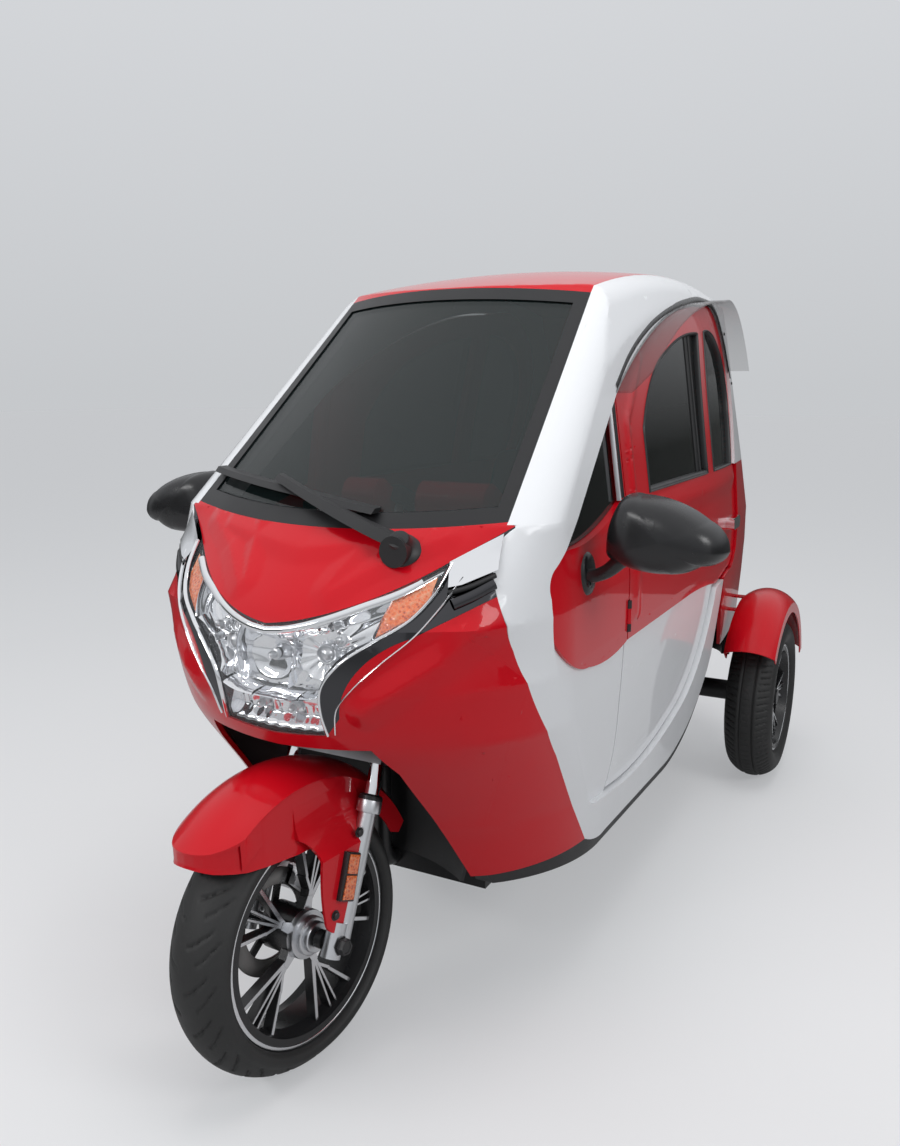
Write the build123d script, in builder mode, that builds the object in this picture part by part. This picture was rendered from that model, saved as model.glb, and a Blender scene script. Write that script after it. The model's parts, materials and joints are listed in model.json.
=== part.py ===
"""Enclosed electric three wheeled car, in millimetres.

+X is the car's left side, the front looks along -Y, +Z is up and the floor is z = 0.
All drawings share one zero, on the floor under the front axle: SIDE drawings give
(distance behind the front axle, height), CROSS drawings give (distance to the left,
height), and plan drawings give (distance to the left, distance behind the front axle).
"""

import math
import os
from collections import namedtuple

from build123d import *

os.makedirs("parts", exist_ok=True)

# Driving dimensions of the whole car
WHEELBASE = 1750
TRACK = 950
FRONT_REACH = 241
TAIL_REACH = 330
FRONT_AXLE_Y = -(WHEELBASE + TAIL_REACH - FRONT_REACH) / 2

# Walls and gaps
PANEL = 10
FRAME_DEPTH = 44
DOOR_RECESS = 14
RED_RECESS = 8
GLASS = 5
SHUT_GAP = 5.5
SEAT_GAP = 0.4
WHEEL_GAP = 5.5
RUNNING = 0.05

# Wheels: radius, width and bead seat radius of each tyre
FRONT_TYRE_R = 243
FRONT_TYRE_W = 130
FRONT_RIM_R = 178
REAR_TYRE_R = 247
REAR_TYRE_W = 135
REAR_RIM_R = 152
TYRE_WALL = 14
BEAD_SHARE = 0.74
BEAD_RISE = 13
RIM_FLANGE = 11

# Fork and steering
RAKE = 25
FORK_OFFSET = 35
LEG_X = 101
LEG_BACK = 18
LEG_R = 16
COLLAR_R = 21
TUBE_R = 13.5
STEM_R = 15
HEAD_R = 28
REST_TURN = -8

# Roof: crowned across and along, with a rounded shoulder to each side
ROOF_TOP = 1466
ROOF_LONG_R = 3000
ROOF_CROWN_R = 2200
ROOF_SHOULDER_R = 70
ROOF_SHOULDER_X = 258
ROOF_AXIS_Y = 1300
ROOF_FLANK = 20

# Cab sides: straight to TAPER_Y, then drawn in towards the tail
TAPER_Y = 1200
SIDE_R = 6000
TAIL_CORNER_R = 130
TAIL_R = 1500

# The cab skin seen from above, level by level. nose is how far the skin's front is
# behind the front axle, tail how far its back is behind the rear axle, and run how much
# further a wall's thickness reaches level than square to the sloping front.
Level = namedtuple("Level", "height nose nose_r corner_r half_width tail run")
LEVELS = [
    Level(225, 218, 412, 345, 375, 240, 1.15),
    Level(400, 128, 412, 350, 390, 290, 1.15),
    Level(600, -33, 412, 350, 402, 320, 1.10),
    Level(700, -64, 412, 350, 406, 330, 1.00),
    Level(804, -58, 440, 330, 406, 325, 1.25),
    Level(957, 112, 970, 100, 393, 215, 1.50),
    Level(1380, 590, 494, 80, 332, 100, 1.50),
    Level(1500, 726, 430, 80, 310, 65, 1.50),
]

SIDE = Plane(origin=(0, FRONT_AXLE_Y, 0), x_dir=(0, 1, 0), z_dir=(1, 0, 0))
CROSS = Plane(origin=(0, FRONT_AXLE_Y, 0), x_dir=(1, 0, 0), z_dir=(0, -1, 0))
REACH = 700


def level_plane(height):
    """The plan drawing's plane at a height above the floor."""
    return Plane(origin=(0, FRONT_AXLE_Y, height))


def outline(start, *steps):
    """A closed face: each step is an end point, or (through, end) for an arc."""
    with BuildSketch() as face:
        with BuildLine():
            here = start
            for step in steps:
                if isinstance(step[0], tuple):
                    ThreePointArc(here, step[0], step[1])
                    here = step[1]
                else:
                    Line(here, step)
                    here = step
            if here != start:
                Line(here, start)
        make_face()
    return face.sketch


def inside(face, gap):
    """A face drawn in by a gap all round, or out where the gap is negative."""
    with BuildSketch() as drawn:
        add(face)
        offset(amount=-gap, kind=Kind.ARC)
    return drawn.sketch


def side_prism(face, near=-REACH, far=REACH):
    """A side drawing carried across the car from near to far."""
    with BuildPart() as prism:
        with BuildSketch(SIDE.offset(near)):
            add(face)
        extrude(amount=far - near)
    return prism.part


def cross_prism(face, near, far):
    """A front drawing carried back from near to far behind the front axle."""
    with BuildPart() as prism:
        with BuildSketch(CROSS.offset(-far)):
            add(face)
        extrude(amount=far - near)
    return prism.part


def both_sides(prism):
    """A solid left of the middle, together with its mirror image."""
    with BuildPart() as pair:
        add(prism)
        mirror(about=Plane.YZ)
    return pair.part


def block(x_from, x_to, y_from, y_to, z_from, z_to):
    """A plain box between six planes, y measured behind the front axle."""
    with BuildPart() as box:
        with BuildSketch(level_plane(z_from)):
            with Locations(((x_from + x_to) / 2, (y_from + y_to) / 2)):
                Rectangle(x_to - x_from, y_to - y_from)
        extrude(amount=z_to - z_from)
    return box.part


def far_crossing(c1, r1, c2, r2):
    """Where two circles cross, the crossing further back."""
    apart = math.dist(c1, c2)
    along = (r1 * r1 - r2 * r2 + apart * apart) / (2 * apart)
    aside = math.sqrt(r1 * r1 - along * along)
    ux, uy = (c2[0] - c1[0]) / apart, (c2[1] - c1[1]) / apart
    ends = [
        (c1[0] + along * ux - k * aside * uy, c1[1] + along * uy + k * aside * ux)
        for k in (1, -1)
    ]
    return max(ends, key=lambda point: point[1])


def level_wire(level, inset):
    """Lines and arcs of the skin at one level, drawn in by inset, right way round."""
    width = level.half_width - inset
    nose_r = level.nose_r - inset
    corner_r = level.corner_r - inset
    nose_cy = level.nose + inset * level.run + nose_r
    corner_cx = width - corner_r
    sweep = math.degrees(math.asin(corner_cx / (nose_r - corner_r)))
    corner_cy = nose_cy - math.sqrt((nose_r - corner_r) ** 2 - corner_cx**2)
    side_c = (level.half_width - SIDE_R, TAPER_Y)
    tail_c = (0, WHEELBASE + level.tail - TAIL_R)
    tc_c = far_crossing(side_c, SIDE_R - TAIL_CORNER_R, tail_c, TAIL_R - TAIL_CORNER_R)
    tc_r = TAIL_CORNER_R - inset
    low = math.degrees(math.atan2(tc_c[1] - side_c[1], tc_c[0] - side_c[0]))
    high = math.degrees(math.atan2(tc_c[1] - tail_c[1], tc_c[0] - tail_c[0]))
    CenterArc((0, nose_cy), nose_r, 270 - sweep, 2 * sweep)
    CenterArc((corner_cx, corner_cy), corner_r, 270 + sweep, 90 - sweep)
    Line((width, corner_cy), (width, TAPER_Y))
    CenterArc(side_c, SIDE_R - inset, 0, low)
    CenterArc(tc_c, tc_r, low, high - low)
    CenterArc(tail_c, TAIL_R - inset, high, 180 - 2 * high)
    CenterArc((-tc_c[0], tc_c[1]), tc_r, 180 - high, high - low)
    CenterArc((-side_c[0], side_c[1]), SIDE_R - inset, 180 - low, low)
    Line((-width, TAPER_Y), (-width, corner_cy))
    CenterArc((-corner_cx, corner_cy), corner_r, 180, 90 - sweep)


def hull(inset):
    """The skin's levels joined, still open above the roof line."""
    with BuildPart() as solid:
        for level in LEVELS:
            with BuildSketch(level_plane(level.height)):
                with BuildLine():
                    level_wire(level, inset)
                make_face()
        loft(ruled=True)
    return solid.part


def above_roof(inset):
    """All that lies above the roof skin, swung about the axis of its long curve."""
    crown_r = ROOF_CROWN_R - inset
    shoulder_r = ROOF_SHOULDER_R - inset
    between = ROOF_CROWN_R - ROOF_SHOULDER_R
    crown_cz = ROOF_TOP - ROOF_CROWN_R
    shoulder_cz = crown_cz + math.sqrt(between**2 - ROOF_SHOULDER_X**2)
    lean = math.degrees(math.asin(ROOF_SHOULDER_X / between))
    flank = math.radians(ROOF_FLANK)
    end_x = ROOF_SHOULDER_X + shoulder_r * math.cos(flank)
    end_z = shoulder_cz + shoulder_r * math.sin(flank)
    wide, outer, top = 430, 620, 1900
    low_z = end_z - (wide - end_x) / math.tan(flank)
    axis = Axis((0, FRONT_AXLE_Y + ROOF_AXIS_Y, ROOF_TOP - ROOF_LONG_R), (1, 0, 0))
    with BuildPart() as solid:
        with BuildSketch(CROSS.offset(-ROOF_AXIS_Y)):
            with BuildLine():
                CenterArc((0, crown_cz), crown_r, 90 - lean, 2 * lean)
                for side in (1, -1):
                    centre = (side * ROOF_SHOULDER_X, shoulder_cz)
                    start = ROOF_FLANK if side > 0 else 90 + lean
                    CenterArc(centre, shoulder_r, start, 90 - lean - ROOF_FLANK)
                    Line((side * end_x, end_z), (side * wide, low_z))
                    Line((side * wide, low_z), (side * outer, low_z))
                    Line((side * outer, low_z), (side * outer, top))
                Line((outer, top), (-outer, top))
            make_face()
        revolve(axis=axis)
    return solid.part


def cab(inset):
    """The whole cab as one solid, its skin drawn in by inset."""
    with BuildPart() as solid:
        add(hull(inset))
        add(above_roof(inset), mode=Mode.SUBTRACT)
    return solid.part


def wall(outer, inner, *tools):
    """A stretch of wall between two insets, inside every tool."""
    with BuildPart() as solid:
        add(outer)
        for tool in tools:
            add(tool, mode=Mode.INTERSECT)
        add(inner, mode=Mode.SUBTRACT)
    return solid.part


CAB_SKIN = cab(0)
CAB_PANEL = cab(PANEL)
CAB_RED = cab(RED_RECESS)
CAB_RECESS = cab(DOOR_RECESS)
CAB_RECESS_PANEL = cab(DOOR_RECESS + PANEL)
CAB_FRAME = cab(FRAME_DEPTH)
CAB_ROOM = cab(FRAME_DEPTH + SEAT_GAP)
CAB_UNDER_PANEL = cab(PANEL + SEAT_GAP)

# Side drawings of the cab
SEAM_Z = 960
WAVE_Z = 674
SHUT_Y = 612
BELT_BACK = WHEELBASE - 60

door_hole = outline(
    (222, 880),
    (600, 1166),
    ((1000, 1332), (1400, 1390)),
    ((1640, 1340), (1722, 1200)),
    ((1712, 1080), (1654, 943)),
    (1386, 631),
    ((1250, 452), (1078, 378)),
    ((860, 346), (655, 349)),
    (480, 372),
    ((452, 381), (436, 402)),
    (299, 601),
    ((228, 735), (213, 835)),
    ((212, 862), (222, 880)),
)
behind_shut = outline(
    (SHUT_Y, 1500),
    (SHUT_Y, 480),
    ((600, 425), (545, 340)),
    (545, 250),
    (2200, 250),
    (2200, 1500),
)
belt_tail = outline(
    (1300, 636),
    (1590, 668),
    ((1660, 690), (BELT_BACK, 760)),
    (BELT_BACK, SEAM_Z - SHUT_GAP),
    (1300, SEAM_Z - SHUT_GAP),
)
below_wave = outline(
    (150, 806),
    (205, 806),
    ((268, 722), (390, WAVE_Z)),
    ((500, WAVE_Z - 12), (620, WAVE_Z)),
    (1100, WAVE_Z),
    ((1300, 664), (1500, 634)),
    (1500, 200),
    (150, 200),
)
frame_front = outline(
    (180, SEAM_Z),
    ((122, 868), (140, 760)),
    ((195, 650), (279, 538)),
    (460, 300),
    ((500, 284), (560, 279)),
    (1001, 263),
    ((1240, 312), (1420, 446)),
    (1492, 646),
    (1300, 646),
    (1300, SEAM_Z),
)
frame_top = outline((0, SEAM_Z), (2300, SEAM_Z), (2300, 1490), (0, 1490))
nose_side = outline(
    (-200, 200),
    (-200, 1500),
    (700, 1500),
    (400, SEAM_Z),
    (180, SEAM_Z),
    ((122, 868), (140, 760)),
    ((195, 650), (279, 538)),
    (460, 300),
    (536, 200),
)
tail_side = outline(
    (BELT_BACK + SHUT_GAP, SEAM_Z),
    (2300, SEAM_Z),
    (2300, 440),
    (1560, 440),
    (1500, 560),
    (1496, 651),
    (1590, 662),
    ((1665, 685), (BELT_BACK + SHUT_GAP, 760)),
)
skirt_side = outline(
    (282, 276),
    (460, 300),
    ((500, 284), (560, 279)),
    (1001, 263),
    ((1240, 312), (1420, 446)),
    (1492, 646),
    (1516, 646),
    (1442, 430),
    ((1262, 288), (1003, 238)),
    (560, 254),
    (300, 250),
)
window_front = outline(
    (774, 958),
    (774, 1096),
    ((866, 1196), (1000, 1260)),
    ((1160, 1302), (1326, 1318)),
    ((1304, 1130), (1296, 958)),
)
window_rear = outline(
    (1366, 958),
    ((1374, 1140), (1396, 1324)),
    ((1500, 1326), (1588, 1292)),
    ((1660, 1210), (1668, 1110)),
    ((1652, 1010), (1630, 958)),
)
quarter_window = outline(
    (262, 906),
    (586, 1148),
    (586, 962),
    ((430, 918), (262, 906)),
)

# Front drawings of the nose and the glass
WINDSCREEN_FOOT = (327, 964)
WINDSCREEN_HEAD = (283, 1366)


def both_halves(start, *steps):
    """A front drawing of the left half, joined to its mirror image."""
    with BuildSketch() as face:
        add(outline(start, *steps))
        mirror(about=Plane.YZ)
    return face.sketch


windscreen_front = outline(
    (-WINDSCREEN_FOOT[0], WINDSCREEN_FOOT[1]),
    ((0, 945), WINDSCREEN_FOOT),
    WINDSCREEN_HEAD,
    ((0, 1379), (-WINDSCREEN_HEAD[0], WINDSCREEN_HEAD[1])),
)
roof_front = outline(
    (-WINDSCREEN_HEAD[0], WINDSCREEN_HEAD[1]),
    ((0, 1379), WINDSCREEN_HEAD),
    (275, 1500),
    (-275, 1500),
)
rail_front = outline(
    (WINDSCREEN_FOOT[0], SEAM_Z),
    WINDSCREEN_FOOT,
    WINDSCREEN_HEAD,
    (275, 1500),
    (500, 1500),
    (500, SEAM_Z),
)
pillar_front = outline(
    (256, SEAM_Z),
    WINDSCREEN_HEAD,
    (275, 1500),
    (500, 1500),
    (500, SEAM_Z),
)
hatch_front = outline(
    (-256, SEAM_Z),
    (256, SEAM_Z),
    WINDSCREEN_HEAD,
    ((0, 1379), (-WINDSCREEN_HEAD[0], WINDSCREEN_HEAD[1])),
)
bonnet_front = outline(
    (0, 806),
    ((140, 840), (262, 906)),
    (340, 958),
    WINDSCREEN_FOOT,
    ((0, 945), (-WINDSCREEN_FOOT[0], WINDSCREEN_FOOT[1])),
    (-340, 958),
    (-262, 906),
    ((-140, 840), (0, 806)),
)
lamp_front = both_halves(
    (0, 806),
    ((140, 840), (262, 906)),
    (262, 868),
    ((230, 818), (183, 786)),
    ((118, 735), (99, 672)),
    (103, 625),
    (0, 618),
)
garnish_front = outline(
    (262, 906),
    (340, 958),
    (380, 880),
    (338, 853),
    (237, 794),
    ((158, 735), (130, 660)),
    (103, 625),
    (99, 672),
    ((118, 735), (183, 786)),
    ((230, 818), (262, 868)),
)
fairing_front = both_halves(
    (0, 618),
    (103, 625),
    (130, 660),
    ((158, 735), (237, 794)),
    (338, 853),
    (380, 880),
    (500, 900),
    (500, 276),
    (221, 276),
    ((196, 440), (188, 545)),
    (165, 600),
    (0, 594),
)
rear_window_front = outline(
    (-235, 1000),
    (235, 1000),
    (205, 1310),
    ((0, 1330), (-205, 1310)),
)
tail_lamp_front = outline(
    (252, 640),
    (360, 640),
    (360, 880),
    ((290, 850), (252, 760)),
)

# Body panels

FRONT_ZONE = (-300, 1000)
REAR_ZONE = (1300, 2300)
SIDE_FROM = 212

nose_prism = side_prism(nose_side)
tail_prism = side_prism(tail_side)
skirt_prisms = both_sides(side_prism(skirt_side, SIDE_FROM))
windscreen_prism = cross_prism(windscreen_front, *FRONT_ZONE)
roof_prism = cross_prism(roof_front, -300, 2300)

with BuildPart() as nose_fairings:
    add(wall(CAB_SKIN, CAB_PANEL, cross_prism(fairing_front, *FRONT_ZONE), nose_prism))
    add(skirt_prisms, mode=Mode.SUBTRACT)
nose_fairings.part.label = "nose_fairings"
export_step(nose_fairings.part, "parts/nose_fairings.step")

with BuildPart() as bonnet:
    add(wall(CAB_SKIN, CAB_PANEL, cross_prism(bonnet_front, *FRONT_ZONE), nose_prism))
    pillar_foot = block(WINDSCREEN_FOOT[0], REACH, *FRONT_ZONE, SEAM_Z, 1500)
    add(both_sides(pillar_foot), mode=Mode.SUBTRACT)
bonnet.part.label = "bonnet"
export_step(bonnet.part, "parts/bonnet.step")

LAMP_DEPTH = 60
LAMP_WALL = 4
LENS = 5
lamp_back = hull(LAMP_DEPTH)
lamp_inner_back = hull(LAMP_DEPTH - LAMP_WALL)
lamp_lens_back = hull(LENS)

with BuildPart() as lamp_lens:
    add(wall(CAB_SKIN, lamp_lens_back, cross_prism(lamp_front, *FRONT_ZONE)))
lamp_lens.part.label = "lamp_lens"
export_step(lamp_lens.part, "parts/lamp_lens.step")

with BuildPart() as lamp_housing:
    add(wall(lamp_lens_back, lamp_back, cross_prism(lamp_front, *FRONT_ZONE), nose_prism))
    lamp_room = cross_prism(inside(lamp_front, LAMP_WALL), *FRONT_ZONE)
    add(wall(CAB_SKIN, lamp_inner_back, lamp_room), mode=Mode.SUBTRACT)
lamp_housing.part.label = "lamp_housing"
export_step(lamp_housing.part, "parts/lamp_housing.step")

with BuildPart() as lamp_garnish:
    add(wall(CAB_SKIN, CAB_PANEL, cross_prism(garnish_front, *FRONT_ZONE), nose_prism))
    mirror(about=Plane.YZ)
lamp_garnish.part.label = "lamp_garnish"
export_step(lamp_garnish.part, "parts/lamp_garnish.step")

RUBBER = 24
windscreen_hole = cross_prism(inside(windscreen_front, RUBBER), *FRONT_ZONE)

with BuildPart() as windscreen_rubber:
    add(wall(CAB_SKIN, CAB_PANEL, windscreen_prism))
    add(windscreen_hole, mode=Mode.SUBTRACT)
windscreen_rubber.part.label = "windscreen_rubber"
export_step(windscreen_rubber.part, "parts/windscreen_rubber.step")

GLASS_RECESS = 3
with BuildPart() as windscreen:
    add(wall(cab(GLASS_RECESS), cab(GLASS_RECESS + GLASS), windscreen_hole))
windscreen.part.label = "windscreen"
export_step(windscreen.part, "parts/windscreen.step")

with BuildPart() as roof:
    add(wall(CAB_SKIN, CAB_PANEL, roof_prism))
roof.part.label = "roof"
export_step(roof.part, "parts/roof.step")

door_hole_prism = side_prism(door_hole, SIDE_FROM)
belt_tail_gap = side_prism(inside(belt_tail, -SHUT_GAP), SIDE_FROM)

with BuildPart() as side_frames_upper:
    rail_prism = cross_prism(rail_front, FRONT_ZONE[0], REAR_ZONE[0])
    pillar_prism = cross_prism(pillar_front, *REAR_ZONE)
    with BuildPart(mode=Mode.PRIVATE) as rail_zone:
        add(rail_prism)
        add(pillar_prism)
    add(wall(CAB_SKIN, CAB_FRAME, side_prism(frame_top), rail_zone.part))
    add(door_hole_prism, mode=Mode.SUBTRACT)
    mirror(about=Plane.YZ)
side_frames_upper.part.label = "side_frames_upper"
export_step(side_frames_upper.part, "parts/side_frames_upper.step")

with BuildPart() as side_frames_lower:
    add(wall(CAB_SKIN, CAB_FRAME, side_prism(frame_front, SIDE_FROM)))
    add(door_hole_prism, mode=Mode.SUBTRACT)
    add(belt_tail_gap, mode=Mode.SUBTRACT)
    mirror(about=Plane.YZ)
side_frames_lower.part.label = "side_frames_lower"
export_step(side_frames_lower.part, "parts/side_frames_lower.step")

behind_shut_prism = side_prism(behind_shut, SIDE_FROM)
below_wave_prism = side_prism(below_wave, SIDE_FROM)
quarter_window_prism = side_prism(quarter_window, SIDE_FROM)

# Door hinges: barrels on the shut line, so that the front edge swings clear
HINGE_X = 398
HINGE_Y = SHUT_Y + SHUT_GAP / 2
HINGE_LOWS = (692, 856)
HINGE_TALL = 64
KNUCKLE = 16
KNUCKLE_R = 6
PIN_R = 3
LEAF_X = 366
LEAF_Y = 570


def upright(radius, low, high):
    """A round bar standing on the left door's hinge axis."""
    with BuildPart() as bar:
        with BuildSketch(level_plane(low)):
            with Locations((HINGE_X, HINGE_Y)):
                Circle(radius)
        extrude(amount=high - low)
    return bar.part


with BuildPart() as hinge_notches:
    for low in HINGE_LOWS:
        add(upright(KNUCKLE_R + 1.5, low - 1.5, low + HINGE_TALL + 1.5))

with BuildPart() as door_hinges:
    for low in HINGE_LOWS:
        high = low + HINGE_TALL
        add(block(LEAF_X, HINGE_X, LEAF_Y, HINGE_Y, low, high))
    add(CAB_RECESS_PANEL, mode=Mode.INTERSECT)
    for low in HINGE_LOWS:
        high = low + HINGE_TALL
        add(upright(PIN_R, low, high))
        for foot, head in ((low, low + KNUCKLE), (high - KNUCKLE, high)):
            add(upright(KNUCKLE_R, foot, head))
            add(block(LEAF_X, HINGE_X, SHUT_Y + SEAT_GAP, HINGE_Y, foot, head))
    mirror(about=Plane.YZ)
door_hinges.part.label = "door_hinges"
export_step(door_hinges.part, "parts/door_hinges.step")

with BuildPart() as quarter_red:
    add(wall(CAB_RED, CAB_RECESS_PANEL, door_hole_prism))
    add(behind_shut_prism, mode=Mode.SUBTRACT)
    add(below_wave_prism, mode=Mode.SUBTRACT)
    add(quarter_window_prism, mode=Mode.SUBTRACT)
    add(hinge_notches.part, mode=Mode.SUBTRACT)
    mirror(about=Plane.YZ)
quarter_red.part.label = "quarter_red"
export_step(quarter_red.part, "parts/quarter_red.step")

with BuildPart() as quarter_white:
    add(wall(CAB_RECESS, CAB_RECESS_PANEL, door_hole_prism, below_wave_prism))
    add(behind_shut_prism, mode=Mode.SUBTRACT)
    mirror(about=Plane.YZ)
quarter_white.part.label = "quarter_white"
export_step(quarter_white.part, "parts/quarter_white.step")

DOOR_GLASS_RECESS = 18
CAB_GLASS_OUT = cab(DOOR_GLASS_RECESS)
CAB_GLASS_IN = cab(DOOR_GLASS_RECESS + GLASS)

with BuildPart() as quarter_glass:
    add(wall(CAB_GLASS_OUT, CAB_GLASS_IN, quarter_window_prism))
    mirror(about=Plane.YZ)
quarter_glass.part.label = "quarter_glass"
export_step(quarter_glass.part, "parts/quarter_glass.step")

rear_window_prism = cross_prism(rear_window_front, *REAR_ZONE)
with BuildPart() as tail_lamp_tool:
    with BuildSketch(CROSS.offset(-REAR_ZONE[1])):
        add(tail_lamp_front)
        mirror(about=Plane.YZ)
    extrude(amount=REAR_ZONE[1] - 1900)

with BuildPart() as rear_body:
    with BuildPart(mode=Mode.PRIVATE) as tail_zone:
        add(tail_prism)
        add(cross_prism(hatch_front, *REAR_ZONE))
    add(wall(CAB_SKIN, CAB_PANEL, tail_zone.part))
    add(rear_window_prism, mode=Mode.SUBTRACT)
    add(tail_lamp_tool.part, mode=Mode.SUBTRACT)
rear_body.part.label = "rear_body"
export_step(rear_body.part, "parts/rear_body.step")

with BuildPart() as rear_window:
    add(wall(cab(GLASS_RECESS), cab(GLASS_RECESS + GLASS), rear_window_prism))
rear_window.part.label = "rear_window"
export_step(rear_window.part, "parts/rear_window.step")

with BuildPart() as tail_lamps:
    add(wall(CAB_SKIN, CAB_PANEL, tail_lamp_tool.part))
tail_lamps.part.label = "tail_lamps"
export_step(tail_lamps.part, "parts/tail_lamps.step")

BUMPER = 26
BUMPER_LOW = 320
BUMPER_HIGH = 440
PLATE_HOLE_X = 70
PLATE_HOLE_Z = 380
PLATE_HOLE_R = 3.3
with BuildPart() as rear_bumper:
    add(
        wall(
            CAB_SKIN,
            cab(BUMPER),
            block(-REACH, REACH, 1900, 2300, BUMPER_LOW, BUMPER_HIGH),
        )
    )
    with BuildSketch(CROSS.offset(-2300)):
        with Locations((PLATE_HOLE_X, PLATE_HOLE_Z), (-PLATE_HOLE_X, PLATE_HOLE_Z)):
            Circle(PLATE_HOLE_R)
    extrude(amount=400, mode=Mode.SUBTRACT)
rear_bumper.part.label = "rear_bumper"
export_step(rear_bumper.part, "parts/rear_bumper.step")

SKIRT_RECESS = 6
with BuildPart() as sill_skirts:
    add(wall(cab(SKIRT_RECESS), CAB_FRAME, skirt_prisms))
    add(tail_prism, mode=Mode.SUBTRACT)
sill_skirts.part.label = "sill_skirts"
export_step(sill_skirts.part, "parts/sill_skirts.step")

# Rain visors stand out of the upper frames over the doors, tapered to the front
VISOR_OUT = 58
VISOR_WALL = 3
VISOR_LOW = 1166
VISOR_TAIL_LOW = 1225
visor_keep = outline(
    (598, VISOR_LOW), (900, VISOR_LOW), (1500, VISOR_TAIL_LOW), (1800, VISOR_TAIL_LOW),
    (1800, 1500), (598, 1500),
)
visor_plan = outline(
    (318, 590),
    (392, 590),
    ((418, 700), (428, 860)),
    (428, 1800),
    (318, 1800),
)
with BuildPart() as rain_visors:
    with BuildSketch(SIDE):
        add(inside(door_hole, -6))
        add(inside(door_hole, -6 + VISOR_WALL), mode=Mode.SUBTRACT)
        add(visor_keep, mode=Mode.INTERSECT)
    extrude(amount=REACH)
    with BuildSketch(level_plane(VISOR_LOW)):
        add(visor_plan)
    extrude(amount=1500 - VISOR_LOW, mode=Mode.INTERSECT)
    add(cab(-VISOR_OUT), mode=Mode.INTERSECT)
    add(CAB_SKIN, mode=Mode.SUBTRACT)
    mirror(about=Plane.YZ)
rain_visors.part.label = "rain_visors"
export_step(rain_visors.part, "parts/rain_visors.step")

# Mirrors: a bent arm from the red quarter panel, a hollowed housing and its glass
MIRROR_Y = 362
MIRROR_IN = 425
MIRROR_OUT = 640
MIRROR_RIM = 7
MIRROR_DEEP = 34
MIRROR_MIDDLE = (538, 926)
MIRROR_SHARES = ((0, 1), (44, 0.93), (78, 0.7))


def mirror_outline(share):
    """The mirror housing from the front, shrunk about its middle to a share."""

    def at(x, z):
        across, up = MIRROR_MIDDLE
        return (across + share * (x - across), up + share * (z - up))

    return outline(
        at(MIRROR_IN, 910),
        (at(440, 968), at(488, 992)),
        (at(555, 996), at(612, 976)),
        (at(634, 955), at(MIRROR_OUT, 930)),
        (at(625, 896), at(588, 880)),
        (at(540, 862), at(488, 858)),
        (at(442, 868), at(MIRROR_IN, 910)),
    )


mirror_face = mirror_outline(1)
with BuildPart() as mirrors:
    for forward, share in MIRROR_SHARES:
        with BuildSketch(CROSS.offset(forward - MIRROR_Y - MIRROR_DEEP)):
            add(mirror_outline(share))
    loft()
    with BuildSketch(CROSS.offset(-(MIRROR_Y + MIRROR_DEEP))):
        add(inside(mirror_face, MIRROR_RIM))
    extrude(amount=12, mode=Mode.SUBTRACT)
    with BuildLine(CROSS.offset(-MIRROR_Y)) as arm_path:
        FilletPolyline((396, 850), (432, 856), (470, 892), radius=14)
    with BuildSketch(Plane(origin=arm_path.line @ 0, z_dir=arm_path.line % 0)):
        Circle(13)
    sweep()
    add(CAB_RED, mode=Mode.SUBTRACT)
    mirror(about=Plane.YZ)
mirrors.part.label = "mirrors"
export_step(mirrors.part, "parts/mirrors.step")

with BuildPart() as mirror_glasses:
    with BuildSketch(CROSS.offset(-(MIRROR_Y + MIRROR_DEEP - MIRROR_RIM))):
        add(inside(mirror_face, MIRROR_RIM + SEAT_GAP))
    extrude(amount=5)
    mirror(about=Plane.YZ)
mirror_glasses.part.label = "mirror_glasses"
export_step(mirror_glasses.part, "parts/mirror_glasses.step")

# Wiper: pivot on the bonnet, arm and blade lying just off the glass
WIPER_AT = (178, 920)
arm_front = outline((169, 928), (-128, 1017), (-125, 1026), (184, 942))
blade_front = outline((-322, 1018), (-324, 1027), (-79, 1004), (108, 980), (106, 971), (-81, 994))
with BuildPart() as wiper:
    with BuildSketch(CROSS.offset(-60)):
        with Locations(WIPER_AT):
            Circle(26)
    extrude(amount=-90, taper=8)
    add(wall(hull(-24), hull(-14), cross_prism(arm_front, *FRONT_ZONE)))
    add(wall(hull(-16), CAB_SKIN, cross_prism(blade_front, *FRONT_ZONE)))
    add(CAB_SKIN, mode=Mode.SUBTRACT)
wiper.part.label = "wiper"
export_step(wiper.part, "parts/wiper.step")

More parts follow.
